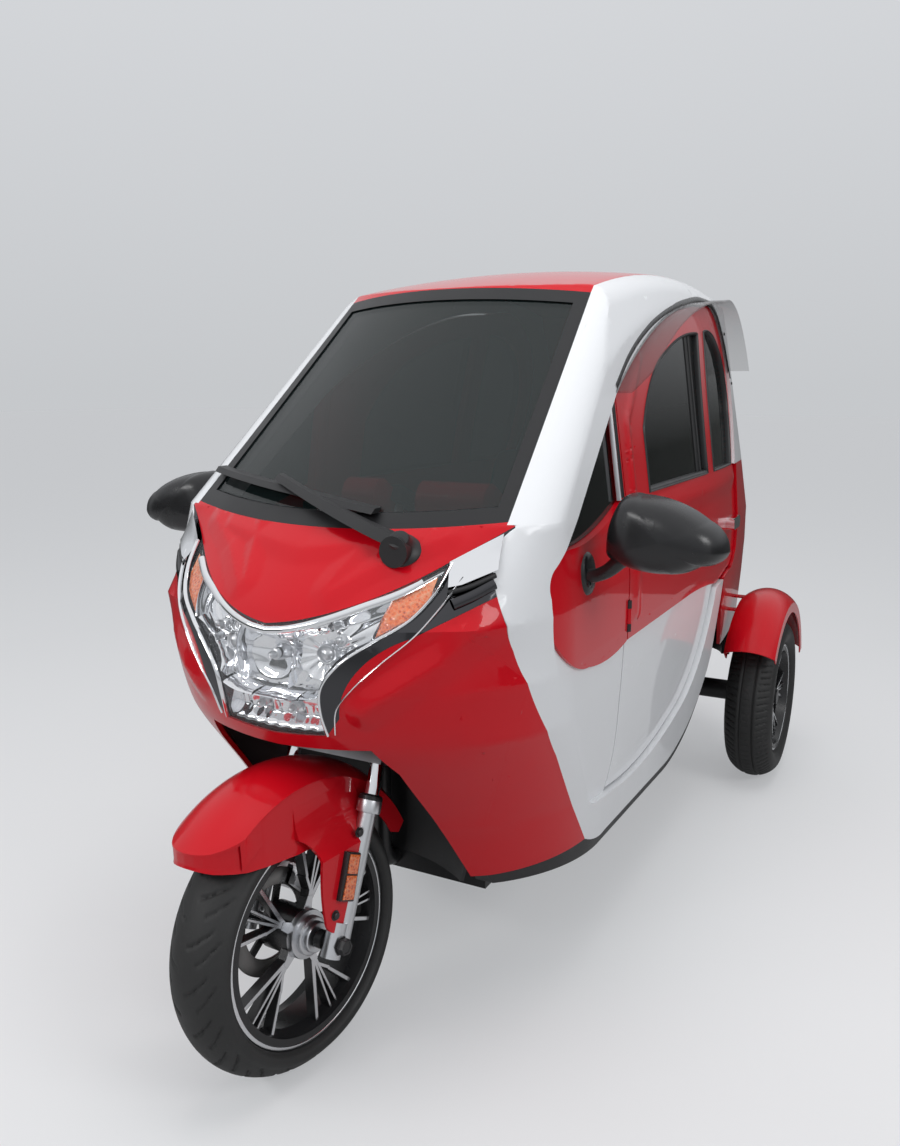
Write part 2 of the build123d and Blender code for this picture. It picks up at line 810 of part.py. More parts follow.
# Doors: a red upper shell with the belt, a white lower skin, glass and a handle
door_face = inside(door_hole, SHUT_GAP)
shut_edge = inside(behind_shut, SHUT_GAP)
windows = [side_prism(window_front, SIDE_FROM), side_prism(window_rear, SIDE_FROM)]
HANDLE_Y = 1572
HANDLE_Z = 800
for side in ("left", "right"):
    with BuildPart() as door_red:
        with BuildPart(mode=Mode.PRIVATE) as door_shape:
            with BuildSketch(SIDE.offset(SIDE_FROM)):
                add(door_face)
                add(shut_edge, mode=Mode.INTERSECT)
                add(belt_tail)
            extrude(amount=REACH)
        add(wall(CAB_RED, CAB_FRAME, door_shape.part))
        add(below_wave_prism, mode=Mode.SUBTRACT)
        for window in windows:
            add(window, mode=Mode.SUBTRACT)
        add(hinge_notches.part, mode=Mode.SUBTRACT)
        for low in HINGE_LOWS:
            foot = low + KNUCKLE + SEAT_GAP
            head = low + HINGE_TALL - KNUCKLE - SEAT_GAP
            add(upright(KNUCKLE_R, foot, head))
            add(block(HINGE_X - 14, HINGE_X, HINGE_Y, HINGE_Y + 16, foot, head))
            add(upright(PIN_R + RUNNING, low, low + HINGE_TALL), mode=Mode.SUBTRACT)
        if side == "right":
            mirror(about=Plane.YZ, mode=Mode.REPLACE)
    door_red.part.label = f"door_red_{side}"
    export_step(door_red.part, f"parts/door_red_{side}.step")

    with BuildPart() as door_white:
        add(wall(CAB_RECESS, CAB_FRAME, door_shape.part, below_wave_prism))
        if side == "right":
            mirror(about=Plane.YZ, mode=Mode.REPLACE)
    door_white.part.label = f"door_white_{side}"
    export_step(door_white.part, f"parts/door_white_{side}.step")

    with BuildPart() as door_glass:
        for window in windows:
            add(wall(CAB_GLASS_OUT, CAB_GLASS_IN, window))
        if side == "right":
            mirror(about=Plane.YZ, mode=Mode.REPLACE)
    door_glass.part.label = f"door_glass_{side}"
    export_step(door_glass.part, f"parts/door_glass_{side}.step")

    with BuildPart() as door_handle:
        with BuildSketch(SIDE.offset(360)):
            with Locations((HANDLE_Y, HANDLE_Z)):
                RectangleRounded(110, 34, 14)
        extrude(amount=60)
        add(cab(-16), mode=Mode.INTERSECT)
        add(CAB_RED, mode=Mode.SUBTRACT)
        if side == "right":
            mirror(about=Plane.YZ, mode=Mode.REPLACE)
    door_handle.part.label = f"door_handle_{side}"
    export_step(door_handle.part, f"parts/door_handle_{side}.step")

# Floor, bulkhead, seats and the inside of the cab
FLOOR_LOW = 256
FLOOR_THICK = 22
ARCH_R = 330
ARCH_WALL = 6
DECK_Z = 664
steer_dir = (0, math.sin(math.radians(RAKE)), math.cos(math.radians(RAKE)))
steer_at = (
    0,
    FRONT_AXLE_Y + FORK_OFFSET * steer_dir[2],
    FRONT_TYRE_R - FORK_OFFSET * steer_dir[1],
)
STEER_PLANE = Plane(origin=steer_at, x_dir=(1, 0, 0), z_dir=steer_dir)
COLUMN_ROOM = 42


def column(radius, low, high):
    """A round bar on the steering axis."""
    with BuildPart() as bar:
        with BuildSketch(STEER_PLANE.offset(low)):
            Circle(radius)
        extrude(amount=high - low)
    return bar.part


floor_side = outline(
    (ARCH_R + 8, FLOOR_LOW),
    (1390, FLOOR_LOW),
    (1470, 516),
    (2000, 516),
    (2000, 538),
    (1453, 538),
    (1372, FLOOR_LOW + FLOOR_THICK),
    (ARCH_R + 8, FLOOR_LOW + FLOOR_THICK),
)
with BuildPart() as floor_tub:
    add(side_prism(floor_side))
    add(CAB_ROOM, mode=Mode.INTERSECT)
floor_tub.part.label = "floor_tub"
export_step(floor_tub.part, "parts/floor_tub.step")

with BuildPart() as front_bulkhead:
    with BuildSketch(level_plane(FLOOR_LOW)):
        Circle(ARCH_R + ARCH_WALL)
        Circle(ARCH_R, mode=Mode.SUBTRACT)
        with Locations((0, -ARCH_R / 2)):
            Rectangle(4 * ARCH_R, ARCH_R + 160, mode=Mode.SUBTRACT)
    extrude(amount=DECK_Z - FLOOR_LOW)
    with BuildSketch(level_plane(DECK_Z)):
        with Locations((0, (ARCH_R + ARCH_WALL + 25) / 2)):
            Rectangle(REACH, ARCH_R + ARCH_WALL - 25)
    extrude(amount=ARCH_WALL)
    add(CAB_UNDER_PANEL, mode=Mode.INTERSECT)
    add(side_prism(frame_front), mode=Mode.SUBTRACT)
    add(skirt_prisms, mode=Mode.SUBTRACT)
    add(column(COLUMN_ROOM, 100, 700), mode=Mode.SUBTRACT)
front_bulkhead.part.label = "front_bulkhead"
export_step(front_bulkhead.part, "parts/front_bulkhead.step")

dash_side = outline(
    (90, 860),
    (215, 905),
    ((330, 930), (430, 905)),
    ((452, 850), (430, 770)),
    (330, 700),
    (110, 700),
)
with BuildPart() as dashboard:
    add(side_prism(dash_side))
    add(CAB_ROOM, mode=Mode.INTERSECT)
    add(hull(LAMP_DEPTH + SEAT_GAP), mode=Mode.INTERSECT)
    add(column(COLUMN_ROOM, 300, 1000), mode=Mode.SUBTRACT)
dashboard.part.label = "dashboard"
export_step(dashboard.part, "parts/dashboard.step")

BOX_WALL = 8
with BuildPart() as seat_box:
    add(block(-190, 190, 860, 1180, FLOOR_LOW + FLOOR_THICK, 560))
    box_room = block(
        -190 + BOX_WALL,
        190 - BOX_WALL,
        860 + BOX_WALL,
        1180 - BOX_WALL,
        FLOOR_LOW + FLOOR_THICK,
        560 - BOX_WALL,
    )
    add(box_room, mode=Mode.SUBTRACT)
seat_box.part.label = "seat_box"
export_step(seat_box.part, "parts/seat_box.step")

with BuildPart() as battery_pack:
    add(block(-160, 160, 880, 1160, FLOOR_LOW + FLOOR_THICK, 500))
battery_pack.part.label = "battery_pack"
export_step(battery_pack.part, "parts/battery_pack.step")

front_seat_side = outline(
    (835, 560),
    ((815, 600), (840, 636)),
    (1120, 650),
    (1235, 1000),
    ((1275, 1012), (1300, 985)),
    (1215, 600),
    ((1205, 562), (1180, 560)),
)
with BuildPart() as front_seat:
    add(side_prism(front_seat_side, -205, 205))
front_seat.part.label = "front_seat"
export_step(front_seat.part, "parts/front_seat.step")

rear_seat_side = outline(
    (1470, 538),
    ((1448, 580), (1475, 628)),
    (1745, 640),
    (1800, 1010),
    ((1838, 1022), (1862, 990)),
    (1850, 600),
    (1850, 538),
)
with BuildPart() as rear_seat:
    add(side_prism(rear_seat_side, -290, 290))
    add(CAB_ROOM, mode=Mode.INTERSECT)
rear_seat.part.label = "rear_seat"
export_step(rear_seat.part, "parts/rear_seat.step")

# Chassis: two rails kicked up over the axle, cross members, steering head and down tube
RAIL_X = 190
RAIL_W = 40
RAIL_H = 50
RAIL_FRONT = 345
rail_side = outline(
    (RAIL_FRONT, FLOOR_LOW - RAIL_H),
    (1400, FLOOR_LOW - RAIL_H),
    (1530, 330),
    (1995, 330),
    (1995, 380),
    (1512, 380),
    (1397, FLOOR_LOW),
    (RAIL_FRONT, FLOOR_LOW),
)
HEAD_LOW = 336
HEAD_HIGH = 386
STRUT_X = 262
STRUT_R = 27
STRUT_LOW = 300
STRUT_HIGH = 455
TUBE_Z = 231
with BuildPart() as chassis:
    for side in (1, -1):
        middle = side * RAIL_X
        add(side_prism(rail_side, middle - RAIL_W / 2, middle + RAIL_W / 2))
        add(block(middle - 15, middle + 15, WHEELBASE - 20, WHEELBASE + 20, 380, 480))
    rail_in = RAIL_X - RAIL_W / 2
    for y_from, z_from in ((RAIL_FRONT, 206), (900, 206), (1340, 206), (1940, 330)):
        add(block(-rail_in, rail_in, y_from, y_from + 40, z_from, z_from + RAIL_H))
    add(
        block(
            -STRUT_X - 30,
            STRUT_X + 30,
            WHEELBASE - 22,
            WHEELBASE + 22,
            STRUT_HIGH,
            STRUT_HIGH + 30,
        )
    )
    with BuildLine(SIDE) as down_path:
        FilletPolyline(
            (202, 547),
            (304, 440),
            (304, TUBE_Z),
            (RAIL_FRONT + 30, TUBE_Z),
            radius=40,
        )
    with BuildSketch(Plane(origin=down_path.line @ 0, z_dir=down_path.line % 0)):
        Circle(18)
    sweep()
    add(column(HEAD_R, HEAD_LOW, HEAD_HIGH))
    add(column(STEM_R + RUNNING, HEAD_LOW - 60, HEAD_HIGH + 60), mode=Mode.SUBTRACT)
    add(rear_bumper.part, mode=Mode.SUBTRACT)
chassis.part.label = "chassis"
export_step(chassis.part, "parts/chassis.step")

# Rear axle: tube, drive housing with the motor, brake plates and stub ends in the hubs
HUB_OUT = TRACK / 2 - 40
HUB_HALF = 34
AXLE_R = 30
REAR_BORE_R = 15
STUB_R = REAR_BORE_R - RUNNING


def axle_run(radius, x_from, x_to):
    """A round bar along the rear axle between two distances to the left."""
    with BuildPart() as bar:
        with BuildSketch(SIDE.offset(x_from)):
            with Locations((WHEELBASE, REAR_TYRE_R)):
                Circle(radius)
        extrude(amount=x_to - x_from)
    return bar.part


with BuildPart() as rear_axle:
    add(axle_run(AXLE_R, -HUB_OUT, HUB_OUT))
    add(axle_run(86, -60, 70))
    add(axle_run(68, 70, 150))
    for side in (1, -1):
        half_out = axle_run(STUB_R, HUB_OUT, TRACK / 2 + HUB_HALF + 14)
        half_out = half_out + axle_run(80, HUB_OUT - 14, HUB_OUT)
        half_out = half_out + axle_run(22, TRACK / 2 + HUB_HALF + WHEEL_GAP, TRACK / 2 + HUB_HALF + 14)
        pad = block(STRUT_X - 20, STRUT_X + 20, WHEELBASE - 24, WHEELBASE + 24, 262, STRUT_LOW)
        half_out = half_out + pad
        add(half_out if side > 0 else half_out.mirror(Plane.YZ))
rear_axle.part.label = "rear_axle"
export_step(rear_axle.part, "parts/rear_axle.step")

with BuildPart() as spring_struts:
    for low, high, radius in (
        (STRUT_LOW, STRUT_LOW + 14, STRUT_R),
        (STRUT_LOW + 14, STRUT_HIGH - 14, STRUT_R - 6),
        (STRUT_HIGH - 14, STRUT_HIGH, STRUT_R),
    ):
        with BuildSketch(level_plane(low)):
            with Locations((STRUT_X, WHEELBASE), (-STRUT_X, WHEELBASE)):
                Circle(radius)
        extrude(amount=high - low)
spring_struts.part.label = "spring_struts"
export_step(spring_struts.part, "parts/spring_struts.step")

# Rear fenders: domed arches over the rear wheels, carried by brackets on the axle
FENDER_WALL = 4
FENDER_X0 = 404
FENDER_X1 = 546
FENDER_R = 300
FENDER_EDGE_R = 262
FENDER_FRONT = 37
FENDER_SWEEP = 125
fender_lead = math.radians(90 - FENDER_FRONT)
fender_plane = Plane(
    origin=(0, FRONT_AXLE_Y + WHEELBASE, REAR_TYRE_R),
    x_dir=(1, 0, 0),
    z_dir=(0, -math.cos(fender_lead), -math.sin(fender_lead)),
)
fender_middle = (FENDER_X0 + FENDER_X1) / 2
with BuildPart() as rear_fenders:
    with BuildSketch(fender_plane):
        add(
            outline(
                (FENDER_X0, FENDER_EDGE_R),
                (FENDER_X0, FENDER_R),
                ((fender_middle, FENDER_R + 30), (FENDER_X1, FENDER_R - 8)),
                (FENDER_X1, FENDER_EDGE_R),
                (FENDER_X1 - FENDER_WALL, FENDER_EDGE_R),
                (FENDER_X1 - FENDER_WALL, FENDER_R - 10),
                ((fender_middle, FENDER_R + 26), (FENDER_X0 + FENDER_WALL, FENDER_R - 2)),
                (FENDER_X0 + FENDER_WALL, FENDER_EDGE_R),
            )
        )
    revolve(
        axis=Axis((0, FRONT_AXLE_Y + WHEELBASE, REAR_TYRE_R), (-1, 0, 0)),
        revolution_arc=FENDER_SWEEP,
    )
    for y_at, z_at in ((WHEELBASE - 90, 520), (WHEELBASE + 60, 530)):
        add(block(350, FENDER_X0 + FENDER_WALL, y_at, y_at + 30, z_at, z_at + 5))
    add(CAB_SKIN, mode=Mode.SUBTRACT)
    mirror(about=Plane.YZ)
rear_fenders.part.label = "rear_fenders"
export_step(rear_fenders.part, "parts/rear_fenders.step")


def tyre(radius, width, bead_r):
    """A tyre's hollow ring, its axle along X, in a plane of (across, out)."""
    half = width / 2
    bead = half * BEAD_SHARE
    shoulder = (half - 7, radius - 28)
    foot = bead_r + BEAD_RISE
    flank = (half, (shoulder[1] + foot) / 2)
    inner_bead = bead - TYRE_WALL
    inner_shoulder = (shoulder[0] - TYRE_WALL, shoulder[1] - TYRE_WALL + 4)
    with BuildPart() as ring:
        with BuildSketch(Plane.XY):
            with BuildLine():
                ThreePointArc((-shoulder[0], shoulder[1]), (0, radius), shoulder)
                ThreePointArc(
                    (-inner_shoulder[0], inner_shoulder[1]),
                    (0, radius - TYRE_WALL),
                    inner_shoulder,
                )
                for side in (1, -1):
                    ThreePointArc(
                        (side * shoulder[0], shoulder[1]),
                        (side * flank[0], flank[1]),
                        (side * bead, foot),
                    )
                    Polyline(
                        (side * bead, foot),
                        (side * bead, bead_r),
                        (side * inner_bead, bead_r),
                        (side * inner_bead, foot),
                        (side * inner_shoulder[0], inner_shoulder[1]),
                    )
            make_face()
        revolve(axis=Axis.X)
    return ring.part


SPOKE_FANS = 5
SPOKE_ROOT = 30
WELL = 17
DISH_HUB = (14, 32)
DISH_LIP = (22, 42)


def bar(start, end, wide_start, wide_end):
    """A flat tapered bar between two points of a plane."""
    length = math.dist(start, end)
    across = ((start[1] - end[1]) / length, (end[0] - start[0]) / length)
    corners = []
    for point, wide in ((start, wide_start), (end, -wide_end)):
        for side in (0.5, -0.5):
            corners.append(
                (point[0] + side * wide * across[0], point[1] + side * wide * across[1])
            )
    with BuildSketch() as strip:
        with BuildLine():
            Polyline(*corners, close=True)
        make_face()
    return strip.sketch


def spoke_fan(reach):
    """One spoke group: a root that splits into an arm, two thin ribs and a bent arm."""
    ends = []
    for degrees in (-16, -3.2, 2.2, 17):
        lean = math.radians(degrees)
        ends.append((reach * math.cos(lean), reach * math.sin(lean)))
    split = 0.36 * reach
    with BuildSketch() as fan:
        add(bar((SPOKE_ROOT, 0), (split, 0), 26, 14))
        add(bar((split - 4, -2), ends[0], 10, 8))
        add(bar((split - 2, -1), ends[1], 7, 5))
        add(bar((split - 2, 2), ends[2], 7, 5))
        bend = (0.6 * reach, 0.12 * reach)
        add(bar((0.44 * reach, 0.01 * reach), bend, 7, 7))
        add(bar((bend[0] - 1, bend[1] - 2), ends[3], 7, 8))
    return fan.sketch


def rim(bead_r, width, hub_r, bore_r):
    """A cast rim: barrel with lips, hub and fans of spokes, its axle along X."""
    half = width / 2 * BEAD_SHARE
    lip = bead_r + RIM_FLANGE
    seat = bead_r - SEAT_GAP
    inner = half + 0.3
    outer = half + 4
    reach = bead_r - 10.5
    left_half = [
        (0, bead_r - 10),
        (half - 24, bead_r - 10),
        (half - TYRE_WALL - 1, seat),
        (inner, seat),
        (inner, lip),
        (outer, lip),
        (outer, bead_r - 8),
        (half - 22, bead_r - WELL),
        (0, bead_r - WELL),
    ]
    with BuildPart() as fans:
        with BuildSketch(Plane.YZ):
            with PolarLocations(0, SPOKE_FANS):
                add(spoke_fan(reach))
        extrude(amount=outer)
        with BuildSketch(Plane.XY):
            with BuildLine():
                Polyline(
                    (DISH_HUB[0], 0),
                    (DISH_HUB[1], 0),
                    (DISH_HUB[1], SPOKE_ROOT),
                    (DISH_LIP[1], reach),
                    (DISH_LIP[0], reach),
                    (DISH_HUB[0], SPOKE_ROOT),
                    close=True,
                )
            make_face()
        revolve(axis=Axis.X, mode=Mode.INTERSECT)
    with BuildPart() as wheel:
        with BuildSketch(Plane.XY):
            with BuildLine():
                Polyline(*left_half, close=True)
            make_face()
            mirror(about=Plane.YZ)
        revolve(axis=Axis.X)
        with BuildSketch(Plane.YZ.offset(-HUB_HALF)):
            Circle(hub_r)
        extrude(amount=2 * HUB_HALF)
        add(fans.part)
        with BuildSketch(Plane.YZ.offset(-60)):
            Circle(bore_r)
        extrude(amount=120, mode=Mode.SUBTRACT)
    return wheel.part


for side, sign in (("left", 1), ("right", -1)):
    place = Pos(sign * TRACK / 2, FRONT_AXLE_Y + WHEELBASE, REAR_TYRE_R)
    rear_tyre = tyre(REAR_TYRE_R, REAR_TYRE_W, REAR_RIM_R).moved(place)
    rear_tyre.label = f"rear_tyre_{side}"
    export_step(rear_tyre, f"parts/rear_tyre_{side}.step")
    rear_rim = rim(REAR_RIM_R, REAR_TYRE_W, 46, REAR_BORE_R)
    if side == "right":
        rear_rim = rear_rim.mirror(Plane.YZ)
    rear_rim = rear_rim.moved(place)
    rear_rim.label = f"rear_rim_{side}"
    export_step(rear_rim, f"parts/rear_rim_{side}.step")

# Steering: built straight ahead, then turned to the rest angle about the head axis
DISC_X = -46
DISC_R = 96
CAP_OUT = 64
turn = Axis(steer_at, steer_dir)
front_place = Pos(0, FRONT_AXLE_Y, FRONT_TYRE_R)
SPINDLE_R = 10
LEG_PLANE = Plane(
    origin=(0, FRONT_AXLE_Y, FRONT_TYRE_R), x_dir=(1, 0, 0), z_dir=steer_dir
)
FOOT_R = 17
LEG_TOP = 246
TUBE_LOW = 100
CALIPER_SLOT = 15


def fork_pair(radius, low, high, back=LEG_BACK):
    """Two round bars beside the wheel, between two heights along the fork."""
    with BuildPart() as pair:
        with BuildSketch(LEG_PLANE.offset(low)):
            with Locations((LEG_X, back), (-LEG_X, back)):
                Circle(radius)
        extrude(amount=high - low)
    return pair.part


# The caliper hangs on the right leg and leaves room on both sides of the disc
caliper_side = outline((40, 300), (66, 272), ((96, 290), (102, 318)), (88, 338), (60, 330))
with BuildPart() as fork_legs:
    add(fork_pair(LEG_R, 8, LEG_TOP))
    add(fork_pair(COLLAR_R, LEG_TOP - 20, LEG_TOP))
    add(fork_pair(FOOT_R, -24, 36, back=0))
    add(side_prism(caliper_side, -LEG_X - 6, DISC_X + 22))
    with BuildSketch(SIDE.offset(DISC_X - CALIPER_SLOT / 2)):
        with Locations((0, FRONT_TYRE_R)):
            Circle(DISC_R + 6)
    extrude(amount=CALIPER_SLOT, mode=Mode.SUBTRACT)
    add(fork_pair(TUBE_R, TUBE_LOW, LEG_TOP), mode=Mode.SUBTRACT)
    with BuildSketch(SIDE.offset(-200)):
        with Locations((0, FRONT_TYRE_R)):
            Circle(SPINDLE_R)
    extrude(amount=400, mode=Mode.SUBTRACT)

with BuildPart() as fork_tubes:
    add(fork_pair(TUBE_R, TUBE_LOW, HEAD_HIGH + 30))

with BuildPart() as fork_yokes:
    for low in (HEAD_LOW - 28, HEAD_HIGH + 6):
        with BuildSketch(LEG_PLANE.offset(low)):
            with BuildLine():
                Polyline(
                    (-LEG_X - 24, -6),
                    (LEG_X + 24, -6),
                    (LEG_X + 24, 32),
                    (30, FORK_OFFSET + 24),
                    (-30, FORK_OFFSET + 24),
                    (-LEG_X - 24, 32),
                    close=True,
                )
            make_face()
            with Locations((LEG_X, LEG_BACK), (-LEG_X, LEG_BACK)):
                Circle(TUBE_R, mode=Mode.SUBTRACT)
        extrude(amount=20)
    add(column(STEM_R, HEAD_LOW - 28, 800))

with BuildPart() as handlebar:
    with BuildSketch(STEER_PLANE.offset(800)):
        RectangleRounded(60, 70, 10)
    extrude(amount=30)
    with BuildLine(STEER_PLANE.offset(815)) as bar_path:
        FilletPolyline(
            (-250, 120), (-180, 95), (-70, 0), (70, 0), (180, 95), (250, 120), radius=30
        )
    with BuildSketch(Plane(origin=bar_path.line @ 0, z_dir=bar_path.line % 0)):
        Circle(11)
    sweep()

with BuildPart() as front_spindle:
    with BuildSketch(SIDE.offset(-LEG_X - 30)):
        with Locations((0, FRONT_TYRE_R)):
            Circle(SPINDLE_R)
    extrude(amount=2 * LEG_X + 60)
    with BuildSketch(SIDE.offset(CAP_OUT + WHEEL_GAP)):
        with Locations((0, FRONT_TYRE_R)):
            Circle(SPINDLE_R + 6)
    extrude(amount=LEG_X - FOOT_R - CAP_OUT - WHEEL_GAP)

# Front mudguard: an arched channel with a narrowed beak and flared stays to the legs
MUD_HALF = 74
MUD_WALL = 3
MUD_R = 303
MUD_SKIRT_R = 240
MUD_BROW = 26
MUD_AT = (-8, 246)
STAY_OUT = 110
STAY_WALL = 5
MUD_PLANE = Plane(
    origin=(0, FRONT_AXLE_Y + MUD_AT[0], MUD_AT[1]), x_dir=(1, 0, 0), z_dir=(0, -1, 0)
)
mud_section = outline(
    (-MUD_HALF, MUD_SKIRT_R),
    (-MUD_HALF, MUD_R - MUD_BROW),
    ((0, MUD_R), (MUD_HALF, MUD_R - MUD_BROW)),
    (MUD_HALF, MUD_SKIRT_R),
    (MUD_HALF - MUD_WALL, MUD_SKIRT_R),
    (MUD_HALF - MUD_WALL, MUD_R - MUD_BROW - 2),
    ((0, MUD_R - MUD_WALL), (-MUD_HALF + MUD_WALL, MUD_R - MUD_BROW - 2)),
    (-MUD_HALF + MUD_WALL, MUD_SKIRT_R),
)
mud_side = outline(
    (-300, 452),
    (-207, 444),
    ((-170, 430), (-136, 424)),
    (-18, 410),
    (90, 404),
    (225, 350),
    (300, 425),
    (300, 700),
    (-300, 700),
)
mud_plan = outline(
    (-44, -198),
    ((0, -212), (44, -198)),
    ((66, -170), (MUD_HALF + 2, -110)),
    (MUD_HALF + 2, 300),
    (-MUD_HALF - 2, 300),
    (-MUD_HALF - 2, -110),
    ((-66, -170), (-44, -198)),
)
# The stay seen from the side, and its bent sheet seen from the front
stay_side = outline(
    (-44, 440),
    ((-26, 424), (-18, 404)),
    ((-25, 350), (-22, 292)),
    ((-17, 276), (8, 264)),
    (24, 264),
    (48, 306),
    (116, 452),
    (104, 500),
    (-44, 500),
)
stay_front = outline(
    (MUD_HALF - MUD_WALL, 500),
    (MUD_HALF - MUD_WALL, 446),
    ((80, 430), (STAY_OUT - STAY_WALL, 396)),
    (STAY_OUT - STAY_WALL, 250),
    (STAY_OUT, 250),
    (STAY_OUT, 398),
    ((86, 436), (MUD_HALF + 4, 458)),
    (MUD_HALF, 500),
)
with BuildPart() as stay:
    add(cross_prism(stay_front, -100, 200))
    add(side_prism(stay_side, 0, REACH), mode=Mode.INTERSECT)
with BuildPart() as front_mudguard:
    with BuildSketch(MUD_PLANE):
        add(mud_section)
    revolve(axis=Axis(MUD_PLANE.origin, (1, 0, 0)), revolution_arc=360)
    with BuildSketch(level_plane(300)):
        add(mud_plan)
    extrude(amount=400, mode=Mode.INTERSECT)
    add(side_prism(mud_side), mode=Mode.INTERSECT)
    add(stay.part)
    add(stay.part.mirror(Plane.YZ))
    add(fork_legs.part, mode=Mode.SUBTRACT)
    add(fork_tubes.part, mode=Mode.SUBTRACT)

# Front rim: the common rim with a stepped cap on its left and a brake disc on its right
with BuildPart() as front_rim:
    add(rim(FRONT_RIM_R, FRONT_TYRE_W, 42, SPINDLE_R + RUNNING))
    for out, radius in ((54, 33), (CAP_OUT, 26)):
        with BuildSketch(Plane.YZ.offset(HUB_HALF)):
            Circle(radius)
            Circle(SPINDLE_R + 7, mode=Mode.SUBTRACT)
        extrude(amount=out - HUB_HALF)
    with BuildSketch(Plane.YZ.offset(DISC_X - 2)):
        Circle(DISC_R)
        Circle(DISC_R - 30, mode=Mode.SUBTRACT)
        with PolarLocations(0, SPOKE_FANS):
            with Locations((DISC_R / 2, 0)):
                Rectangle(DISC_R - 36, 16)
    extrude(amount=4)
    with BuildSketch(Plane.YZ.offset(DISC_X - 2)):
        Circle(30)
        Circle(SPINDLE_R + 7, mode=Mode.SUBTRACT)
    extrude(amount=-HUB_HALF - DISC_X + 4)

straight = (
    ("fork_legs", fork_legs.part),
    ("fork_tubes", fork_tubes.part),
    ("fork_yokes", fork_yokes.part),
    ("handlebar", handlebar.part),
    ("front_spindle", front_spindle.part),
    ("front_mudguard", front_mudguard.part),
    ("front_tyre", tyre(FRONT_TYRE_R, FRONT_TYRE_W, FRONT_RIM_R).moved(front_place)),
    ("front_rim", front_rim.part.moved(front_place)),
)
for label, piece in straight:
    turned = piece.rotate(turn, REST_TURN)
    turned.label = label
    export_step(turned, f"parts/{label}.step")
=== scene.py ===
# %% [markdown]
# # Three wheeled car: paint, lamps, tyres and glass
#
# The solids of this car come from its CAD source. This notebook dresses them: it gives
# every surface its finish, rounds the moulded panels, and models what is too fine for the
# solids, such as the reflectors behind the lamp lens, the tyre tread and the rubber
# around each window. All lengths are metres unless a name says millimetres.

# %% Load the solids
import json
import math

import bmesh
import bpy
import numpy as np
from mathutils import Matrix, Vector


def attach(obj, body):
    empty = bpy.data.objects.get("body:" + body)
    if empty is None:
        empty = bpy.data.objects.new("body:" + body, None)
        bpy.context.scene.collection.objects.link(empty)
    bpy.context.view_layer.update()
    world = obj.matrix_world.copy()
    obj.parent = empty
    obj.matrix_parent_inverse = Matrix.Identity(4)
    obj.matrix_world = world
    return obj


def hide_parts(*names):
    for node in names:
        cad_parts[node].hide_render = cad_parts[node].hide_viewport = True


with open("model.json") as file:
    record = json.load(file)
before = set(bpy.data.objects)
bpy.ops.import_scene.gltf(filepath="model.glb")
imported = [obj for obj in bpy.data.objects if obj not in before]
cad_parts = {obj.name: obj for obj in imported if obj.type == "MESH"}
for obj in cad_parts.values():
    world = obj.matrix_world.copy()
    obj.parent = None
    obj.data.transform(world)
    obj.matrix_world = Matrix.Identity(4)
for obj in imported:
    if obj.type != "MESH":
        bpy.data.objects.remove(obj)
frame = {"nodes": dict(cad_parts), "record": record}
NODES = frame["nodes"]
record = frame["record"]
body_of = {n: b for b, ns in record["behaviour"]["bodies"].items() for n in ns}
slot_of = {s["node"]: s["material_slot"] for s in record["subparts"]}
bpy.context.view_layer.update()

MM = 0.001
FRONT_AXLE = -0.9195
REAR_AXLE = FRONT_AXLE + 1.75
SIDES = (("left", 1), ("right", -1))
print("bodies:", sorted(set(body_of.values())))

# %% [markdown]
# ## Camera
#
# A photograph is matched by putting a camera where the photographer stood. The place,
# the turn and the focal length were solved once from points that can be told apart in
# the picture and on the car, so here they are plain numbers: the eye is 1.18 m above the
# floor, to the front left of the car, and looks a little down.

# %% Camera
EYE = (0.98394, FRONT_AXLE - 1.26724, 1.18132)
YAW = 0.48652
PITCH = 0.18811
FOCAL_PIXELS = 980.9
FRAME_HEIGHT = 1146

camera_data = bpy.data.cameras.new("photo_camera")
camera_data.sensor_width = 36
camera_data.lens = FOCAL_PIXELS / FRAME_HEIGHT * camera_data.sensor_width
camera = bpy.data.objects.new("photo_camera", camera_data)
camera.location = EYE
camera.rotation_euler = (math.pi / 2 - PITCH, 0, YAW)
bpy.context.collection.objects.link(camera)
bpy.context.scene.camera = camera
print("lens:", round(camera_data.lens, 2), "mm")

# %% [markdown]
# ## Shader maths
#
# A finish is a small network of nodes. Written out node by node it is long and hard to
# read, so three small classes help. `Wire` wraps the output of a node and turns `+`, `-`,
# `*` and `/` into Math nodes. `Graph` makes every other kind of node with one method,
# `node`, and names the few small networks that come back in many finishes. `Finish` is
# the graph of one material.


# %% Wires
class Wire:
    """The output of a node, usable in plain sums."""

    def __init__(self, graph, socket):
        self.graph = graph
        self.socket = socket

    def maths(self, operation, first, second):
        return self.graph.node("Math", {"operation": operation}, {0: first, 1: second})


SIGNS = {"add": "ADD", "sub": "SUBTRACT", "mul": "MULTIPLY", "truediv": "DIVIDE"}
for sign, name in SIGNS.items():
    # wire - 1 uses the first form, and 1 - wire the second, reflected one
    setattr(Wire, f"__{sign}__", lambda wire, other, n=name: wire.maths(n, wire, other))
    setattr(Wire, f"__r{sign}__", lambda wire, other, n=name: wire.maths(n, other, wire))
print("sums on wires:", *SIGNS)


